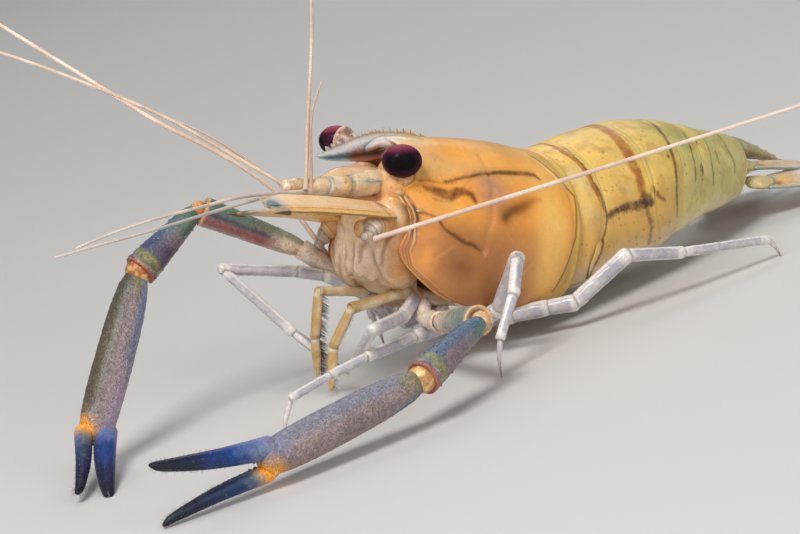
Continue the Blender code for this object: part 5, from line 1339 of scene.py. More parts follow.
def arm_paint(kind, s, glow=None):
    far = s == "R"

    def paint(P, T, TH):
        top, low = np.cos(TH), -np.cos(TH)
        side = np.sin(TH)
        grain = cloud(P, 1.2, 151)
        n = 0.16 * (grain - 0.5)
        c = cells(P, 3.6, 141)
        c2 = cells(P, 6.5, 157)
        tt = T + n
        if kind == "base":
            C = mix(np.broadcast_to(rgb(236, 218, 196), P.shape), rgb(222, 204, 190), step(0.4, 0.65, grain))
        elif kind == "merus":
            ground = rgb(190, 184, 168) if not far else rgb(140, 116, 112)
            C = mix(np.broadcast_to(ground, P.shape), rgb(176, 160, 150), step(0.4, 0.65, grain) * 0.6)
            C = mix(C, rgb(228, 206, 184), step(0.42, 0.12, tt) * 0.95)
            C = mix(C, rgb(92, 132, 126) if far else rgb(116, 150, 146), step(0.42, 0.7, tt) * step(0.99, 0.92, tt) * 0.75)
            if far:
                C = mix(C, rgb(104, 128, 104), step(0.1, 0.7, top + n) * 0.75)
                C = mix(C, rgb(52, 54, 76), np.exp(-((top + n - 0.1) / 0.24) ** 2) * step(0.2, 0.36, tt) * 0.7)
                C = mix(C, rgb(176, 84, 84), np.exp(-((top + n + 0.42) / 0.3) ** 2) * step(0.15, 0.35, tt) * 0.8)
            C = mix(C, rgb(206, 172, 152), step(0.45, 0.9, low + n) * 0.8)
            C = mix(C, MAGENTA, np.exp(-((low - 0.62 + n) / 0.12) ** 2) * 0.25)
        elif kind == "carpus":
            C = mix(np.broadcast_to(rgb(146, 130, 142), P.shape), rgb(164, 150, 154), step(0.4, 0.65, grain) * 0.6)
            C = mix(C, rgb(96, 140, 140), step(0.45, 0.08, tt) * 0.85)
            C = mix(C, rgb(86, 122, 156), step(0.35, 0.85, top + n) * 0.85)
            C = mix(C, rgb(176, 104, 130), step(0.6, 0.92, low + n) * 0.6)
            if far:
                C = mix(C, rgb(104, 136, 112), step(0.6, 0.1, tt) * 0.8)
                C = mix(C, rgb(66, 64, 112), step(0.35, 0.7, tt) * step(0.3, -0.3, side + n) * 0.7)
            C = mix(C, rgb(172, 168, 92), np.exp(-((tt - 0.87) / 0.055) ** 2) * 0.8)
            C = mix(C, rgb(206, 196, 160), np.exp(-((tt - 0.95) / 0.02) ** 2) * 0.5)
        else:
            if far:
                top, low = low, top
            C = mix(np.broadcast_to(rgb(170, 152, 154), P.shape), rgb(182, 162, 166), step(0.4, 0.65, grain) * 0.7)
            C = mix(C, rgb(138, 124, 124), step(0.5, 0.72, cloud(P, 0.45, 153)) * 0.5)
            C = mix(C, rgb(146, 150, 172), step(0.25, 0.85, top + n) * 0.85)
            C = mix(C, rgb(206, 170, 162), step(0.5, 0.95, low + n) * 0.6)
            C = mix(C, rgb(158, 146, 106), step(0.16, 0.02, tt) * step(-0.9, -0.1, top) * 0.8)
            C = mix(C, rgb(92, 122, 152), patch(tt, top, 0.1, -0.75, 0.12, 0.3) * 0.8)
            C = mix(C, rgb(112, 126, 172) if not far else rgb(150, 150, 190), step(0.84, 1.0, tt) * step(-0.4, 0.5, top if not far else top) * 0.75)
            if far:
                C = mix(C, rgb(96, 92, 70), step(-0.1, 0.7, -top + n) * 0.9 * step(1.0, 0.8, tt))
                C = mix(C, rgb(150, 164, 200), step(0.1, 0.6, top + n) * step(0.75, 0.3, tt) * 0.85)
                C = mix(C, rgb(198, 176, 204), step(0.0, 0.5, top + n) * step(0.4, 0.8, tt) * 0.85)
        loud = 0.15 if kind == "base" else (step(0.1, 0.4, T) if kind == "merus" else 1.0)
        C = C * (1 - 0.1 * loud)[..., None] if np.ndim(loud) else C * (1 - 0.1 * loud)
        # painted shade between the granules and painted highlight on their tops, on the same cells as the bump relief
        C = mix(C, C * 0.62, step(0.34, 0.62, c) * 0.4 * loud)
        C = mix(C, np.clip(C * 1.2 + 0.03, 0, 1), step(0.26, 0.08, c) * 0.4 * loud)
        C = mix(C, C * 0.45, step(0.2, 0.1, c2) * 0.75 * loud)
        rim = {"base": rgb(236, 196, 146), "merus": rgb(240, 190, 126), "carpus": rgb(206, 112, 62), "palm": rgb(196, 140, 100)}[kind]
        C = mix(C, rim, np.exp(-((T - 0.998) / (0.018 if kind != "palm" else 0.01)) ** 2) * (0.85 if kind != "palm" else 0.3))
        if glow is not None:
            C = joint_glow(C, P, glow, 0.95)
        calm = {"base": 0.15, "merus": 0.5, "carpus": 0.9, "palm": 1.0}[kind]
        X = fx(P, r=0.7 * calm, g=0.05, b=0.5 * calm)
        if kind in ("palm", "carpus"):
            C = C * (np.array((0.95, 0.93, 0.88)) if not far else np.array((0.90, 0.88, 0.84)))
        return np.clip(C, 0, 1), X
    return paint


def joint_ball(piece, centre, radius, colour, axis):
    na, nb = 28, 40
    lat = np.linspace(0.05, math.pi - 0.05, na)[:, None]
    lon = np.linspace(0, 2 * math.pi, nb, endpoint=False)[None]
    P = np.asarray(centre) + radius * np.stack([np.sin(lat) * np.cos(lon), np.sin(lat) * np.sin(lon), np.cos(lat) * np.ones_like(lon)], -1)
    C = mix(np.broadcast_to(colour, P.shape), rgb(250, 214, 150), step(0.45, 0.65, cloud(P, 2.4, 161)) * 0.6)
    piece.add(*loft(P), with_caps(C), with_caps(fx(P, r=0.2, b=0.15)))


def spinules(piece, a, b, side, radius, count, size, colour, tip, t0=0.08, t1=0.95, spread=0.25):
    axis = unit(b - a)
    side = unit(side - axis * np.dot(side, axis))
    other = np.cross(axis, side)
    for i in range(count):
        t = t0 + (t1 - t0) * (i + RNG.uniform(0.2, 0.8)) / count
        ang = RNG.normal(0, spread)
        out = side * math.cos(ang) + other * math.sin(ang)
        r = float(smooth(radius, t)) * 0.96
        cone(piece, a + (b - a) * t + out * r, out + axis * 0.9, size * RNG.uniform(0.7, 1.2), size * 0.42, colour, tip, n=7)


def finger(piece, root, way, length, bend, keys, s, dactyl, opp, glow):
    """A slender claw finger with a slightly hooked tip and low teeth near its root."""
    root, way, bend, opp = (np.asarray(a, float) for a in (root, way, bend, opp))
    m = 130
    f = np.linspace(0, 1, m)
    pts = root + way * (length * f)[:, None] + bend * (0.2 * np.sin(math.pi * f) - 0.16 * np.clip((f - 0.88) / 0.12, 0, 1) ** 2)[:, None]
    r = smooth(keys, f) * np.sqrt(np.clip(1 - ((f - 0.92) / 0.085).clip(0, 1) ** 2, 0.02, 1))
    n = 48
    P = tube(pts, r, n, seed_axis=opp)
    T = np.repeat(f[:, None], n, 1)
    N = normals_of(P)
    c = cells(P, 3.6, 171)
    P = P + N * (0.025 * (step(0.5, 0.05, c) - 0.2) * step(1.0, 0.75, T) + 0.03 * (cloud(P, 1.0, 173) - 0.5))[..., None]
    face = (N * unit(-opp)).sum(-1)
    grain = cloud(P, 1.5, 175)
    n2 = 0.2 * (grain - 0.5)
    if s == "R":
        start, mid = (rgb(106, 122, 176), rgb(6, 58, 132)) if not dactyl else (rgb(136, 130, 122), rgb(40, 56, 84))
        deep = rgb(2, 20, 66)
    else:
        start, mid = (rgb(120, 136, 168), rgb(6, 60, 132)) if not dactyl else (rgb(110, 122, 132), rgb(8, 46, 92))
        deep = rgb(1, 18, 58)
    C = mix(np.broadcast_to(rgb(150, 140, 152), P.shape), start, step(0.0, 0.14, T + n2))
    C = mix(C, mid, step(0.1, 0.36, T + n2))
    C = mix(C, deep, step(0.36, 0.72, T + n2) * 0.95)
    C = mix(C, rgb(1, 6, 26), step(0.62, 0.95, T + n2) * 0.85)
    C = mix(C, rgb(70, 98, 176), step(0.3, 0.9, -face) * step(0.6, 0.15, T) * 0.4)
    # painted highlight: lighter grey along the side turned to the other finger
    C = mix(C, rgb(70, 64, 70), step(0.75, 0.98, face) * 0.4)
    # painted shade between the granules, on the same cells as the bump relief
    C = mix(C, C * 0.6, step(0.34, 0.6, c) * 0.35)
    C = mix(C, C * 0.5, step(0.2, 0.1, cells(P, 6.5, 179)) * 0.6)
    C = mix(C, rgb(150, 160, 200), step(0.14, 0.08, cells(P, 1.9, 177)) * step(0.9, 0.7, T) * 0.5)
    C = joint_glow(C, P, glow, 0.95 if dactyl else 0.8)
    piece.add(*loft(P), with_caps(C), with_caps(fx(P, r=0.5, g=0.25, b=0.2)))
    for i, t in enumerate(np.linspace(0.12, 0.6, 11)):
        q = root + way * (length * t) + bend * (0.2 * math.sin(math.pi * t)) - unit(opp) * float(smooth(keys, t)) * 0.95
        cone(piece, q, -opp + way * 0.3, 0.1 if i > 1 else 0.18, 0.09 if i > 1 else 0.14, rgb(50, 52, 74), rgb(120, 112, 112), n=8, power=0.5)
    count = 200
    t = RNG.uniform(0.25, 0.99, count) ** 0.7
    idx = (t * (m - 1)).astype(int)
    ang = RNG.uniform(0, 2 * math.pi, count)
    ring = tube(pts, r * 0.97, 36, seed_axis=opp)
    q = ring[idx, (ang / (2 * math.pi) * 36).astype(int) % 36]
    out = unit(q - pts[idx])
    needles(setae, q, out + way * 0.8 + RNG.normal(0, 0.15, (count, 3)), RNG.uniform(0.2, 0.42, count) * (0.6 + 0.5 * t), 0.011, rgb(120, 116, 130),
            np.stack([0.7 + 0.1 * t, 0.3 + 0.1 * SIGN[s] + 0.02 * np.sin(ang)], 1))


MERUS = [(0.0, 0.66), (0.08, 0.8), (0.35, 0.94), (0.7, 1.05), (0.9, 1.12), (0.97, 1.16), (1.0, 1.14)]
CARPUS = [(0.0, 0.66), (0.1, 0.84), (0.35, 1.0), (0.7, 1.22), (0.9, 1.32), (0.97, 1.36), (1.0, 1.32)]
PALM = [(0.0, 0.9), (0.06, 1.14), (0.3, 1.42), (0.65, 1.5), (0.88, 1.42), (1.0, 1.2)]
for s, (root, pieces) in ARMS.items():
    k = SIGN[s]
    j = walk(root, pieces)
    b = len(j) - 4
    piece = Piece("arm_merus_skin_" + s)
    j0 = j[0] - unit(j[1] - j[0]) * 0.6
    thin = [(0.34, 0.42), (0.46, 0.58), (0.64, 0.78)][-b:]
    for i in range(b):
        r0, r1 = thin[i]
        limb_segment(piece, j0 if i == 0 else j[i], j[i + 1], UP, [(0, r0 * 0.85), (0.2, r0), (0.8, r1), (1, r1 * 1.03)], arm_paint("base", s), 56, 0.08, 1.0, rough=0.06,
                     bumps=arm_bumps(0.02), seed=i)
    axis = unit(j[b + 1] - j[b])
    p, q = j[b] + axis * 0.25, j[b + 1] - axis * 0.55
    limb_segment(piece, p, q, UP, MERUS, arm_paint("merus", s), 100, 0.065, 0.97, bumps=arm_bumps(0.035))
    joint_ball(piece, q + axis * 0.36, 0.72, rgb(214, 170, 130) if s == "L" else rgb(196, 124, 64), axis)
    spinules(piece, p, q, UP, MERUS, 13, 0.17, rgb(120, 120, 130), rgb(214, 200, 190), spread=0.5)
    piece.make(ARM, "arm_teal_mauve", ("cheliped_merus_" + s,))
    piece = Piece("arm_carpus_skin_" + s)
    axis = unit(j[b + 2] - j[b + 1])
    p, q = j[b + 1] + axis * (GAP + 0.15), j[b + 2] - axis * GAP
    limb_segment(piece, p, q, UP, CARPUS, arm_paint("carpus", s), 108, 0.065, 0.95, bumps=arm_bumps(0.035))
    joint_ball(piece, q + axis * 0.14, 1.06, rgb(186, 138, 84) if s == "L" else rgb(170, 96, 44), axis)
    spinules(piece, p, q, UP, CARPUS, 20, 0.22, rgb(70, 84, 130), rgb(190, 196, 220), spread=0.35)
    spinules(piece, p, q, -UP + np.array((0.6, 0, 0)), CARPUS, 9, 0.18, rgb(120, 70, 90), rgb(214, 180, 180), spread=0.4)
    piece.make(ARM, "arm_teal_mauve", ("cheliped_carpus_" + s,))
    piece = Piece("arm_palm_skin_" + s)
    axis = unit(j[b + 3] - j[b + 2])
    p, q = j[b + 2] + axis * (GAP + 0.1), j[b + 3]
    spread = np.array((0.05, 0.15, 1.0)) if s == "L" else np.array((0.35, 0.85, -0.35))
    spread = unit(spread - axis * np.dot(spread, axis))
    (lf, azf, elf), (ld, azd, eld), off = FINGERS[s]
    fixed, moving = direction(azf, elf), direction(azd, eld)
    limb_segment(piece, p, q, spread if s == "L" else -spread, PALM, arm_paint("palm", s, q - spread * 0.72 + axis * 0.12), 120, 0.075, 0.92, bumps=arm_bumps(0.035), end="ball")
    spinules(piece, p, q, spread, PALM, 18, 0.15, rgb(110, 110, 150), rgb(220, 214, 226), spread=0.5)
    spinules(piece, p, q, -spread, PALM, 14, 0.13, rgb(150, 110, 120), rgb(226, 200, 196), spread=0.5)
    side = np.cross(axis, spread)
    hinge = q - spread * 0.72 + axis * 0.12
    joint_ball(piece, hinge, 0.68, rgb(240, 146, 40), axis)
    for w in (1, -1):
        joint_ball(piece, q - spread * 0.8 + side * (0.52 * w) + axis * 0.1, 0.3, rgb(244, 156, 48), axis)
    keys = [(0, 0.86), (0.06, 0.84), (0.3, 0.74), (0.6, 0.62), (0.85, 0.45), (1.0, 0.28)] if s == "L" else [(0, 0.9), (0.3, 0.84), (0.6, 0.72), (0.85, 0.52), (1.0, 0.3)]
    finger(piece, q + spread * off - axis * 0.35, fixed, lf + 0.3, -spread, keys, s, False, spread, hinge)
    piece.make(ARM, "arm_teal_mauve", ("cheliped_palm_" + s,))
    piece = Piece("arm_finger_skin_" + s)
    keys = [(0, 0.6), (0.05, 0.68), (0.2, 0.66), (0.55, 0.54), (0.85, 0.38), (1.0, 0.24)]
    foot = q - spread * (off + 0.12)
    finger(piece, foot + moving * 0.12, moving, ld - 0.12, spread, keys, s, True, -spread, hinge)
    piece.make(ARM, "finger_navy", ("cheliped_finger_" + s,))

# ------------------------------------------------------------------ abdomen
T_RIDGE_X = [(0, 0), (3, 0), (4, -0.15), (5, -0.5), (6, -1.2)]
T_RIDGE_Y = [(0, 15.25), (1, 17.5), (2, 22.9), (3, 27.3), (4, 30.2), (5, 32.7), (6, 37.2)]
T_RIDGE_Z = [(0, -4.85), (1, -4.72), (2, -4.85), (3, -5.75), (4, -6.85), (5, -8.0), (6, -9.9)]
T_TILT = [(0, 17), (1, 15), (2, 15), (3, 22), (4, 29), (5, 33), (6, 30)]
T_YAW = [(0, 0), (3, 1), (4, 4), (5, 8), (6, 11)]
T_WIDE = [(0, 6.05), (1, 6.4), (2, 6.35), (3, 5.7), (4, 5.0), (5, 4.25), (6, 3.1)]
T_RISE = [(0, 6.0), (1, 6.1), (2, 6.0), (3, 5.3), (4, 4.75), (5, 4.15), (6, 3.3)]
T_DROP = [(0, 4.6), (1, 4.5), (2, 4.2), (3, 4.1), (4, 3.8), (5, 3.3), (6, 2.3)]
T_HEM_X = [(0, 4.3), (1, 4.9), (2, 4.7), (3, 4.2), (4, 3.7), (5, 3.1), (6, 2.0)]
LEAN = {
    0: [(0, 0), (1, 0)],
    1: [(0, 0), (0.5, 0.0), (0.62, -0.35), (0.8, -0.9), (1, -0.3)],
    2: [(0, 0), (0.5, 0.0), (0.62, 0.3), (0.82, 0.8), (1, 0.4)],
    3: [(0, 0), (0.5, 0), (0.75, 0.3), (1, 0)],
    4: [(0, 0), (0.5, 0), (0.75, 0.35), (1, 0.1)],
    5: [(0, 0), (0.5, 0.0), (0.75, 0.3), (1, 0.1)],
    6: [(0, 0), (1, 0)],
}


def abdomen_axes(t):
    t = np.asarray(t, float)
    yaw, tilt = np.radians(smooth(T_YAW, t)), np.radians(smooth(T_TILT, t))
    ridge = np.stack([smooth(T_RIDGE_X, t), smooth(T_RIDGE_Y, t), smooth(T_RIDGE_Z, t)], -1)
    along = np.stack([-np.sin(yaw) * np.cos(tilt), np.cos(yaw) * np.cos(tilt), -np.sin(tilt)], -1)
    left = np.stack([np.cos(yaw), np.sin(yaw), np.zeros_like(yaw)], -1)
    return ridge, along, left, unit(np.cross(left, along))


def abdomen_at(t, v, lean, grow=0.0):
    """Rows t (n), columns v (m) signed; lean (n, m) slides points along."""
    ridge, along, left, up = (a[:, None, :] for a in abdomen_axes(t))
    wide, rise, drop, hem_x = (smooth(k, t)[:, None] for k in (T_WIDE, T_RISE, T_DROP, T_HEM_X))
    a = np.abs(v)[None]
    f = a * math.pi
    x = np.where(a < 0.5, wide * np.sin(f), hem_x + (wide - hem_x) * np.cos(f - math.pi / 2)) * np.sign(v + 1e-9)[None]
    z = np.where(a < 0.5, -rise * (1 - np.cos(f)), -rise - drop * np.sin(f - math.pi / 2))
    return ridge + left * x[..., None] + up * z[..., None] + along * lean[..., None]


def am(a):
    return np.where(a < 0.5, 18.8 * a, 9.4 + 10 * (a - 0.5))


TM = 4.6


def bandline(pts):
    return [(t * TM, float(am(v))) for t, v in pts]


BANDS = []      # (line, half width, colour, strength, grains, width keys)


def abdomen_paint(t, v, P, k, f):
    a = np.abs(v)
    m = am(a)
    tm = t * TM
    fog = cloud(P, 0.5, 201)
    grain = cloud(P, 2.6, 202)
    speck = value_noise(P, 8.0, 203)
    C = mix(np.broadcast_to(rgb(232, 192, 104), P.shape), rgb(220, 196, 112), step(1.4, 3.2, t + 0.5 * (fog - 0.5)))
    C = mix(C, rgb(206, 192, 124), step(3.4, 5.4, t) * 0.8)
    C = mix(C, rgb(170, 190, 140), np.clip(patch(t, m, 3.35, 5.6, 0.35, 1.6) + patch(t, m, 5.2, 4.0, 0.5, 2.0), 0, 1) * 0.45)
    C = mix(C, rgb(216, 196, 150), step(0.5, 0.72, fog) * 0.5)
    C = mix(C, rgb(176, 130, 72), step(0.52, 0.7, cloud(P, 0.9, 205)) * 0.4)
    C = mix(C, rgb(216, 166, 88), step(7.5, 10.0, m + 1.5 * (fog - 0.5)) * step(3.4, 2.2, t) * 0.65)
    C = mix(C, rgb(206, 196, 130), step(6.0, 8.0, m) * step(2.6, 3.6, t) * 0.4)
    C = mix(C, rgb(228, 212, 184), step(10.8, 12.8, m + 1.4 * (grain - 0.5)) * 0.6)
    C = mix(C, rgb(244, 196, 92), np.clip(patch(t, m, 2.0, 8.6, 0.22, 1.6) + patch(t, m, 2.75, 7.6, 0.2, 1.3), 0, 1) * 0.7)
    C = mix(C, rgb(152, 150, 86), patch(t, m, 3.3, 4.0, 0.5, 2.0) * 0.5)
    C = C * (0.90 + 0.2 * cloud(P, 1.1, 207))[..., None]
    X = np.zeros(P.shape)
    warp = 0.3 * (cloud(P, 0.9, 209) - 0.5)
    edge = 0.2 * (grain - 0.5) + 0.12 * (speck - 0.5)
    for pts, half, colour, strength, grains, keys in BANDS:
        d, w = line_distance(tm + warp, m, pts)
        h = half * (smooth(keys, w) if keys else 1.0)
        q = step(h + 0.2, h - 0.1, d + edge) * strength * (0.75 + 0.25 * step(0.3, 0.6, cloud(P, 1.5, 221)))
        C = mix(C, colour, q * (1 - 0.4 * grains * step(0.45, 0.6, speck)))
        X[..., 2] = np.maximum(X[..., 2], q * grains)
    for tc, mc, r, colour in ((2.62, 6.6, 0.28, rgb(28, 20, 16)), (3.62, 6.2, 0.3, rgb(84, 60, 34)), (4.1, 5.4, 0.26, rgb(84, 66, 36)), (4.7, 3.6, 0.24, rgb(86, 92, 48)), (3.3, 5.6, 0.34, rgb(96, 110, 56))):
        d = np.hypot(tm - tc * TM, m - mc)
        C = mix(C, colour, step(r, r * 0.4, d + edge) * 0.8)
    dots = step(0.22, 0.12, cells(P, 1.9, 211)) * step(0.4, 0.6, cloud(P, 0.6, 213))
    C = mix(C, rgb(104, 70, 36), dots * 0.55)
    # the hind rim is a pale line with a thin dark one before it
    C = mix(C, rgb(96, 74, 34), np.exp(-((f - 0.955) / 0.012) ** 2) * 0.3 * step(11.5, 9.5, m))
    C = mix(C, rgb(228, 206, 140), np.exp(-((f - 1.01) / 0.022) ** 2) * 0.4)
    # thin dark line above the hem, and a pale hem that is a painted edge highlight along the raised rim of the side
    # plates
    C = mix(C, rgb(92, 74, 40), np.exp(-((a - 0.955) / 0.015) ** 2) * 0.5)
    C = mix(C, rgb(238, 226, 204), step(0.965, 0.99, a) * 0.75)
    X[..., 2] = np.maximum(X[..., 2], 0.04 + 0.05 * step(0.5, 0.7, fog))
    return np.clip(C, 0, 1), X


def make_somite(k):
    """Somite k+1: a closed shell whose hind rim stands over the next one."""
    first, last = k == 0, k == 5
    f = np.linspace(0.0 if first else -0.14, 1.0 if last else 1.045, 76)
    t = k + f
    v = np.linspace(-1, 1, 301)
    a = np.abs(v)
    g = np.clip(f, 0, 1)[:, None]
    lean = smooth(LEAN[k], a)[None] * (1 - g) + smooth(LEAN[k + 1], a)[None] * g
    P = abdomen_at(t, v, lean)
    T = np.repeat(t[:, None], len(v), 1)
    FF = np.repeat(f[:, None], len(v), 1)
    VV = np.repeat(v[None], len(t), 0)
    AA = np.abs(VV)
    du, dv = np.gradient(P, axis=0), np.gradient(P, axis=1)
    N = unit(np.cross(du, dv))
    if N[:, 150, 2].mean() < 0:
        N = -N
    side = step(0.55, 0.7, AA)
    tuck = -0.24 * step(0.14, -0.06, FF)
    if k == 1:
        tuck = tuck * (1 - side) + 0.14 * side * step(0.3, 0.0, FF)
    D = tuck if not first else np.zeros_like(FF)
    D = D + 0.06 * np.exp(-((FF - 1.0) / 0.05) ** 2) * (1 if not first else 1 - side) + 0.1 * np.sin(math.pi * np.clip(FF, 0, 1)) - 0.02 * np.exp(-((FF - 0.9) / 0.04) ** 2)
    if first:
        D = D - 0.2 * side * step(0.5, 0.95, FF)
    D += 0.05 * (cloud(P, 0.7, 215) - 0.5) + 0.025 * (cloud(P, 2.6, 217) - 0.5)
    D += 0.07 * np.exp(-((AA - 0.985) / 0.012) ** 2) - 0.05 * np.exp(-((AA - 0.94) / 0.02) ** 2)
    D -= 0.03 * np.exp(-((FF - 0.16) / 0.03) ** 2) * step(0.5, 0.35, AA) * (0 if first else 1)
    P = P + N * D[..., None]
    C, X = abdomen_paint(T, VV, P, k, FF)
    ridge, along, left, up = (q[:, None, :] for q in abdomen_axes(t))
    drop = smooth(T_DROP, t)[:, None]
    rise = smooth(T_RISE, t)[:, None]
    hx = smooth(T_HEM_X, t)[:, None]
    lv = lean[:, -1:]
    z0 = -rise - drop
    spots = [(hx - 0.1, z0 - 0.04), (hx - 0.28, z0 + 0.02), (hx - 0.5, z0 + 0.25), (hx - 0.8, z0 + np.minimum(1.7, drop * 0.5)),
             (hx * 0.6, z0 + np.minimum(1.9, drop * 0.53)), (hx * 0.3, z0 + np.minimum(2.0, drop * 0.55)), (hx * 0.0, z0 + np.minimum(2.0, drop * 0.55))]
    U = [ridge + left * x[..., None] + up * z[..., None] + along * lv[..., None] for x, z in spots]
    W = [ridge - left * x[..., None] + up * z[..., None] + along * lv[..., None] for x, z in spots[:-1]][::-1]
    U = np.concatenate(U + W, axis=1)
    CU = np.broadcast_to(rgb(218, 196, 152), U.shape) * (0.85 + 0.3 * cloud(U, 1.2, 219))[..., None]
    ring = np.concatenate([P, U], axis=1)
    CC = np.concatenate([C, CU], axis=1)
    XX = np.concatenate([X, np.zeros(U.shape)], axis=1)
    tail_axis = along[-1, 0]
    centre = ring[-1].mean(0)
    ends = [ring[-1] + (centre - ring[-1]) * q + tail_axis * w for q, w in ((0.012, 0.05), (0.032, 0.03), (0.05, -0.12), (0.08, -0.4), (0.5, -0.7))]
    centre = ring[0].mean(0)
    fronts = [ring[0] + (centre - ring[0]) * q + along[0, 0] * w for q, w in ((0.02, 0.0), (0.5, 0.3))][::-1]
    # painted shade: the tucked front rings and the inner closing rings are darker than the shell
    CC = np.concatenate([np.repeat(CC[:1] * 0.7, 2, 0), CC, np.repeat(CC[-1:], 1, 0), np.repeat(CC[-1:] * 0.75, 4, 0)])
    XX = np.concatenate([np.repeat(XX[:1], 2, 0), XX, np.repeat(XX[-1:], 5, 0)])
    ring = np.concatenate([fronts, ring, ends])
    piece = Piece("abdomen_shell_skin_%d" % (k + 1))
    piece.add(*loft(ring), with_caps(CC), with_caps(XX))
    piece.make(TAIL, "abdomen_shell", ("abdomen_%d" % (k + 1),))
    # short hairs along the hem of the side plates
    n = 90
    ff = RNG.uniform(0.05, 0.98, n)
    ri = (ff * 60 + 10).astype(int)
    sg = RNG.choice((0, 1), n)
    q = np.where(sg[:, None] == 0, P[ri, 0], P[ri, -1])
    needles(setae, q, -up[ri, 0] + left[ri, 0] * np.where(sg == 0, -0.35, 0.35)[:, None] + along[ri, 0] * 0.5, RNG.uniform(0.2, 0.42, n), 0.011,
            rgb(232, 218, 190), np.stack([0.1 + 0.1 * ff, 0.7 + 0.02 * k + 0.1 * sg], 1))


BANDS += [
    (bandline([(0.90, 0.0), (0.71, 0.14), (0.80, 0.24), (0.84, 0.35), (1.04, 0.48)]), 0.36, rgb(176, 100, 36), 0.9, 0.25, [(0, 0.7), (0.3, 1.1), (0.8, 0.9), (1, 0.4)]),
    (bandline([(0.93, 0.10), (0.84, 0.2), (0.9, 0.34), (1.06, 0.48)]), 0.09, rgb(58, 36, 20), 0.7, 0.2, None),
    (bandline([(1.03, 0.49), (1.04, 0.62), (1.03, 0.73), (0.88, 0.9)]), 0.09, rgb(30, 24, 18), 0.85, 0.0, None),
    (bandline([(1.95, 0.0), (1.84, 0.12), (1.81, 0.23), (1.77, 0.34), (1.80, 0.46)]), 0.34, rgb(168, 98, 38), 0.9, 0.25, [(0, 0.7), (0.5, 1.1), (1, 0.7)]),
    (bandline([(1.83, 0.50), (1.93, 0.66), (1.88, 0.80)]), 0.15, rgb(104, 70, 34), 0.7, 0.3, [(0, 1), (1, 0.4)]),
    (bandline([(3.05, 0.05), (2.88, 0.2), (2.78, 0.35), (2.74, 0.52), (2.74, 0.68)]), 0.17, rgb(78, 66, 30), 0.85, 0.3, [(0, 0.5), (0.5, 1.2), (1, 0.5)]),
    (bandline([(3.69, 0.22), (3.60, 0.38), (3.66, 0.50)]), 0.1, rgb(82, 70, 36), 0.75, 0.2, None),
    (bandline([(4.63, 0.22), (4.61, 0.42), (4.85, 0.58)]), 0.1, rgb(82, 72, 38), 0.75, 0.2, None),
    (bandline([(1.08, 0.49), (1.44, 0.485), (1.8, 0.505)]), 0.24, rgb(84, 44, 40), 0.92, 0.5, [(0, 0.8), (0.5, 1.0), (1, 1.2)]),
    (bandline([(1.82, 0.47), (1.9, 0.5), (1.98, 0.52)]), 0.3, rgb(70, 34, 28), 0.9, 0.3, [(0, 0.7), (0.5, 1.2), (1, 0.7)]),
    (bandline([(4.0, 0.43), (4.06, 0.46), (4.1, 0.475)]), 0.3, rgb(72, 44, 26), 0.8, 0.4, [(0, 0.6), (0.5, 1.2), (1, 0.6)]),
    (bandline([(5.0, 0.36), (5.03, 0.4), (5.06, 0.43)]), 0.16, rgb(110, 66, 28), 0.7, 0.4, [(0, 0.6), (0.5, 1.2), (1, 0.6)]),
    (bandline([(2.02, 0.46), (2.15, 0.5), (2.3, 0.54)]), 0.16, rgb(134, 62, 36), 0.75, 0.5, [(0, 1), (1, 0.4)]),
    (bandline([(5.5, 0.1), (5.45, 0.3), (5.6, 0.5)]), 0.09, rgb(84, 78, 42), 0.6, 0.2, None),
]
for k in range(6):
    make_somite(k)

# ----------------------------------------------------------------- tail fan
ridge6, along6, left6, up6 = (q[0] for q in abdomen_axes(np.array([6.0])))
FAN_YAW = math.radians(13)


def tail_direction(yaw, pitch):
    y, p = math.radians(13 + yaw), math.radians(pitch)
    return np.array((-math.sin(y) * math.cos(p), math.cos(y) * math.cos(p), -math.sin(p)))


t_dir = tail_direction(0, 23)
t_left = np.array((math.cos(FAN_YAW), math.sin(FAN_YAW), 0))
t_base = ridge6 + up6 * -1.0 + along6 * 0.3
t_up = np.cross(t_left, t_dir)
TELSON = [(0.0, 1.6, 1.0), (0.1, 1.8, 1.05), (0.4, 1.5, 0.85), (0.75, 0.85, 0.5), (0.93, 0.6, 0.34), (1.0, 0.16, 0.12)]


def fan_paint(P, T, S, upper, tone):
    grain = cloud(P, 1.6, 231)
    base = tone
    C = mix(np.broadcast_to(base, P.shape), rgb(236, 222, 200), step(0.42, 0.68, grain) * 0.55)
    C = mix(C, rgb(150, 150, 104), step(0.5, 0.2, T) * 0.35)
    C = mix(C, rgb(112, 88, 52), step(0.24, 0.12, cells(P, 2.6, 233)) * 0.45)
    return C


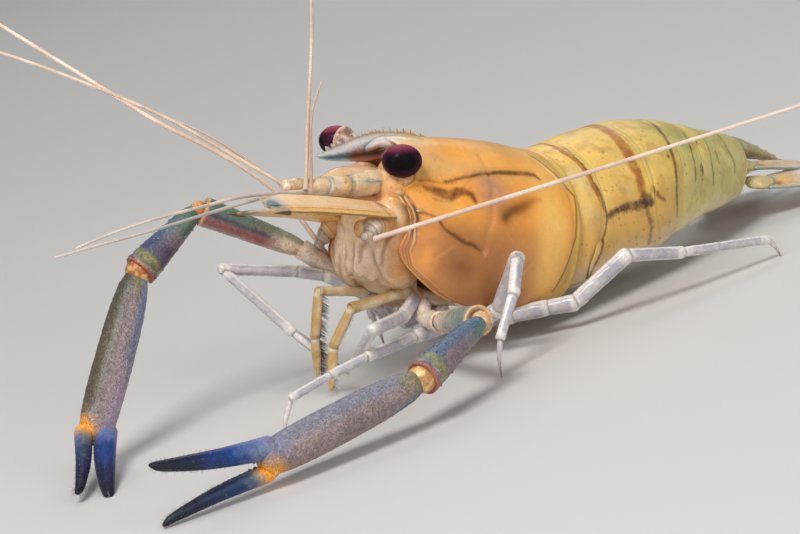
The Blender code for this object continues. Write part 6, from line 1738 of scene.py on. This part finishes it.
def make_telson():
    m, n = 120, 72
    t = np.linspace(-0.05, 1, m)
    a = smooth([(x, w) for x, w, _ in TELSON], t)
    b = smooth([(x, h) for x, _, h in TELSON], t)
    th = np.linspace(0, 2 * math.pi, n, endpoint=False)
    P = (t_base + t_dir * (8.6 * t)[:, None])[:, None] + t_left * (a[:, None] * np.cos(th))[..., None] + t_up * (b[:, None] * np.sin(th) * np.where(np.sin(th) < 0, 0.55, 1.0))[..., None]
    T = np.repeat(t[:, None], n, 1)
    TH = np.repeat(th[None], m, 0)
    mid = np.exp(-((TH - math.pi / 2) / 0.25) ** 2)
    P = P + t_up * (-0.12 * np.exp(-((TH - math.pi / 2) / 0.3) ** 2) * step(0.05, 0.2, T) + 0.05 * (cloud(P, 1.4, 235) - 0.5))[..., None]
    C = fan_paint(P, T, TH, 1, rgb(178, 172, 122))
    C = mix(C, rgb(214, 200, 170), mid * 0.5)
    C = mix(C, rgb(96, 78, 44), np.exp(-((np.abs(TH - math.pi / 2) - 0.55) / 0.1) ** 2) * 0.5)
    piece = Piece("telson_skin")
    piece.add(*loft(P), with_caps(C), with_caps(fx(P, b=0.25)))
    for k in (1, -1):
        for tt in (0.5, 0.72):
            w = float(smooth([(x, w) for x, w, _ in TELSON], tt))
            q = t_base + t_dir * (8.6 * tt) + t_left * (k * w * 0.62) + t_up * float(smooth([(x, h) for x, _, h in TELSON], tt)) * 0.7
            cone(piece, q, t_dir + t_up * 0.25, 0.42, 0.09, rgb(196, 180, 130), rgb(120, 80, 46), n=10)
        q = t_base + t_dir * (8.6 * 0.965) + t_left * (k * 0.34)
        cone(piece, q, t_dir + t_left * (0.12 * k), 0.9, 0.1, rgb(204, 190, 146), rgb(120, 80, 46), n=10)
    piece.make(TAIL, "tail_fan", ("telson",))
    n = 40
    f = RNG.uniform(-1, 1, n)
    q = t_base + t_dir * (8.6 * (0.985 - 0.02 * f ** 2))[:, None] + t_left * (0.34 * f)[:, None]
    needles(setae, q, t_dir + t_left * (0.25 * f)[:, None], RNG.uniform(0.8, 1.2, n), 0.012, rgb(226, 204, 160), (0.35, 0.75))


make_telson()
FAN_INNER = [(0.0, 0.9, 1.0), (0.2, 1.2, 1.25), (0.55, 1.5, 1.5), (0.85, 1.35, 1.2), (1.0, 0.5, 0.5)]
FAN_OUTER = [(0.0, 0.8, 1.0), (0.2, 1.35, 1.15), (0.55, 1.9, 1.25), (0.85, 1.85, 1.1), (1.0, 0.7, 0.5)]
for s, k in SIGN.items():
    for part, yaw, pitch, length, widths, out, low, slope in (("inner", -12 * k, 17, 8.8, FAN_INNER, 1.9, 2.75, 18), ("outer", -29 * k, 13, 9.6, FAN_OUTER, 3.15, 4.3, 30)):
        d = tail_direction(yaw, pitch)
        base = ridge6 + t_left * (k * out) - np.array((0, 0, low)) + along6 * 0.5
        flat = t_left * k * math.cos(math.radians(slope)) - np.array((0, 0, math.sin(math.radians(slope))))
        across = unit(flat - d * np.dot(flat, d))

        def ridge(t, q):
            fade = step(0.0, 0.1, t) * step(1.0, 0.92, t)
            return fade * (0.15 * np.exp(-((q - (0.1 if part == "inner" else 0.35)) / 0.1) ** 2) + 0.07 * np.exp(-((q + 0.3) / 0.1) ** 2) + 0.02 * np.cos(q * 34))
        P, T, S, F = leaf(base, d, across, length, widths, 0.4, 0.1, 130, 50, 0.3, ridge, wave=0.12)
        P[..., 2] = np.maximum(P[..., 2], FLOOR + 0.1)
        C = fan_paint(P, T, S, F, rgb(226, 196, 176))
        C = mix(C, rgb(240, 222, 206), step(0.0, -0.8, S) * 0.4)
        C = mix(C, rgb(92, 140, 140), step(0.84, 0.93, S) * 0.8)
        C = mix(C, rgb(196, 170, 120), np.exp(-((S - (0.1 if part == "inner" else 0.35)) / 0.07) ** 2) * 0.6)
        C = mix(C, rgb(234, 190, 96), patch(T, S, 0.16, 0.1, 0.1, 0.5) * 0.8)
        C = mix(C, rgb(150, 84, 40), patch(T, S, 0.10, 0.55, 0.035, 0.22) * 0.85)
        C = mix(C, rgb(248, 240, 228), step(0.965, 0.99, T) * 0.6 + step(-0.9, -0.97, S) * 0.6)
        piece = Piece("uropod_%s_skin_%s" % (part, s))
        piece.add(*loft(P), with_caps(C), with_caps(fx(P, b=0.2)))
        # stub that joins the blade to the last somite
        limb_segment(piece, base - d * 1.3 + UP * 0.1, base + d * 0.5, across, [(0, 0.75), (0.5, 0.82), (1, 0.7)],
                     lambda P, T, TH: (mix(np.broadcast_to(rgb(206, 190, 136), P.shape), rgb(230, 206, 160), step(0.4, 0.6, cloud(P, 2, 241))), fx(P, b=0.2)), 30, 0.1, 0.55, end="ball")
        if part == "outer":
            cone(piece, base + d * (length * 0.86) + across * 1.05, d + across * 0.1, 0.8, 0.13, rgb(150, 150, 110), rgb(90, 60, 40), n=10)
        piece.make(BLADE, "tail_fan", ("uropod_%s_%s" % (part, s),))
        n = 520
        t = RNG.uniform(0.25, 1.0, n)
        e = RNG.choice((-1, 1), n, p=(0.65, 0.35))
        w = np.where(e < 0, smooth([(a, b) for a, b, _ in widths], t), smooth([(a, c) for a, _, c in widths], t))
        w = w * np.sqrt(np.clip(1 - ((t - 0.93) / 0.07).clip(0, 1) ** 2, 0.02, 1))
        keep = (e < 0) | (t > 0.88)
        q = base + d * (length * t)[:, None] + across * (w * e * 0.98)[:, None]
        q[:, 2] = np.maximum(q[:, 2], FLOOR + 0.12)
        way = across * (e * (1 - 0.7 * step(0.85, 1, t)))[:, None] + d * (0.7 + 1.4 * step(0.85, 1.0, t))[:, None]
        needles(setae, q[keep], way[keep] + np.array((0, 0, 0.05)), RNG.uniform(0.5, 0.85, keep.sum()), 0.012, rgb(238, 222, 200),
                np.stack([0.4 + 0.1 * t[keep], np.full(keep.sum(), 0.75 + 0.1 * k)], 1))

# --------------------------------------------------------------- swimmerets
for i in range(1, 6):
    t = i - 0.55
    ridge, along, left, up = (q[0] for q in abdomen_axes(np.array([t])))
    rise_t, drop_t, hem_t = (float(smooth(q, t)) for q in (T_RISE, T_DROP, T_HEM_X))
    drop = rise_t + drop_t - min(1.7, drop_t * 0.5)
    size = hem_t / 4.9
    for s, g in SIGN.items():
        base = ridge + left * (g * hem_t * 0.42) - up * (drop + 0.25)
        d = unit(along * 0.95 - UP * 0.18)
        across = unit(left - d * np.dot(left, d))
        piece = Piece("swimmeret%d_skin_%s" % (i, s))
        swim = lambda P, T, TH: (mix(np.broadcast_to(rgb(226, 208, 176), P.shape), rgb(196, 178, 140), step(0.42, 0.62, cloud(P, 1.6, 251))), fx(P, b=0.15))
        limb_segment(piece, base + up * 0.5 - d * 0.3, base + d * 0.5, left, [(0, 0.5 * size), (0.5, 0.55 * size), (1, 0.42 * size)], swim, 30, 0.09, 0.8)
        for shift, ln, w in ((0.0, 4.3, 0.82), (-0.45, 3.4, 0.55)):
            b2 = base + across * (shift * g * size) + up * (0.12 if shift else 0)
            wid = [(0, 0.25, 0.25), (0.3, w * size * 0.9, w * size * 0.9), (0.7, w * size, w * size), (1.0, 0.2, 0.2)]
            P, T, S, F = leaf(b2, d, across, ln * size, wid, 0.3, 0.12, 56, 22, wave=0.1)
            P[..., 2] = np.maximum(P[..., 2], FLOOR + 0.2)
            C, X = swim(P, T, S)
            C = mix(C, rgb(246, 236, 216), np.abs(S) ** 4 * 0.8)
            piece.add(*loft(P), with_caps(C), with_caps(X))
            n = 130
            tt = RNG.uniform(0.25, 1, n)
            e = RNG.choice((-1, 1), n)
            w2 = smooth([(a, b) for a, b, _ in wid], tt) * np.sqrt(np.clip(1 - ((tt - 0.93) / 0.07).clip(0, 1) ** 2, 0.02, 1))
            q = b2 + d * (ln * size * tt)[:, None] + across * (w2 * e)[:, None]
            q[:, 2] = np.maximum(q[:, 2], FLOOR + 0.2)
            needles(setae, q, across * e[:, None] * 0.7 + d, RNG.uniform(0.4, 0.7, n) * size, 0.012, rgb(236, 222, 196), np.stack([0.6 + 0.1 * tt, np.full(n, 0.75 + 0.1 * g)], 1))
        piece.make(BLADE, "swimmeret", ("pleopod%d_%s" % (i, s),))

setae.make(SETA, "jaw_cream", uv="OFBake")

# ---------------------------------------------------- floor, light, camera
def plain(name, colour, rough):
    mat = bpy.data.materials.new(name)
    mat.use_nodes = True
    nt = mat.node_tree
    b = nt.nodes["Principled BSDF"]
    noise = nt.nodes.new("ShaderNodeTexNoise")
    noise.inputs["Scale"].default_value = 60
    ramp = nt.nodes.new("ShaderNodeMapRange")
    ramp.inputs[3].default_value, ramp.inputs[4].default_value = rough - 0.04, rough + 0.04
    nt.links.new(noise.outputs["Fac"], ramp.inputs[0])
    nt.links.new(ramp.outputs[0], b.inputs["Roughness"])
    b.inputs["Base Color"].default_value = (*colour, 1)
    return mat


bpy.ops.mesh.primitive_circle_add(vertices=96, radius=4.0, fill_type="NGON", location=(0, 0, -0.00001))
floor = bpy.context.object
floor.name = "floor"
floor.data.materials.append(plain("floor_paper", (0.62, 0.61, 0.60), 0.7))

EX, EY, ED = unit(body(math.cos(math.radians(50)), math.sin(math.radians(50)), 0)), unit(body(0, 0, 1)), unit(body(math.sin(math.radians(50)), -math.cos(math.radians(50)), 0))
cam = bpy.data.cameras.new("camera")
cam.lens, cam.sensor_width, cam.clip_start = 165.78, 36, 0.01
eye = bpy.data.objects.new("camera", cam)
bpy.context.scene.collection.objects.link(eye)
place = (EX * 2.28 + EY * (-8.892) + ED * 280 + OFFSET) * 0.001
eye.matrix_world = Matrix([[EX[i], EY[i], ED[i], place[i]] for i in range(3)] + [[0, 0, 0, 1]])
bpy.context.scene.camera = eye
bpy.context.scene.view_settings.view_transform = "Standard"


def lamp(name, way, distance, size, power, colour=(1, 1, 1), target=(0.008, 0.0, 0.014)):
    data = bpy.data.lights.new(name, "AREA")
    data.shape, data.size, data.energy, data.color = "DISK", size, power, colour
    obj = bpy.data.objects.new(name, data)
    bpy.context.scene.collection.objects.link(obj)
    way = Vector(unit(way))
    obj.location = Vector(target) + way * distance
    obj.rotation_euler = way.to_track_quat("Z", "Y").to_euler()
    obj.visible_camera = False
    return obj


lamp("key", (0.45, -0.75, 1.25), 0.42, 0.18, 1.32, (1.0, 0.98, 0.95))
lamp("fill", (1.0, -0.1, 0.45), 0.5, 0.34, 0.7, (0.98, 0.98, 1.0))
lamp("front", (0.1, -1.0, 0.35), 0.5, 0.25, 0.36, (1.0, 1.0, 1.0))
lamp("rim", (-0.7, 0.8, 0.9), 0.45, 0.3, 0.42, (1.0, 0.97, 0.92))
world = bpy.data.worlds.new("world")
bpy.context.scene.world = world
world.use_nodes = True
world.node_tree.nodes["Background"].inputs[0].default_value = (0.93, 0.95, 1.0, 1)
world.node_tree.nodes["Background"].inputs[1].default_value = 0.2
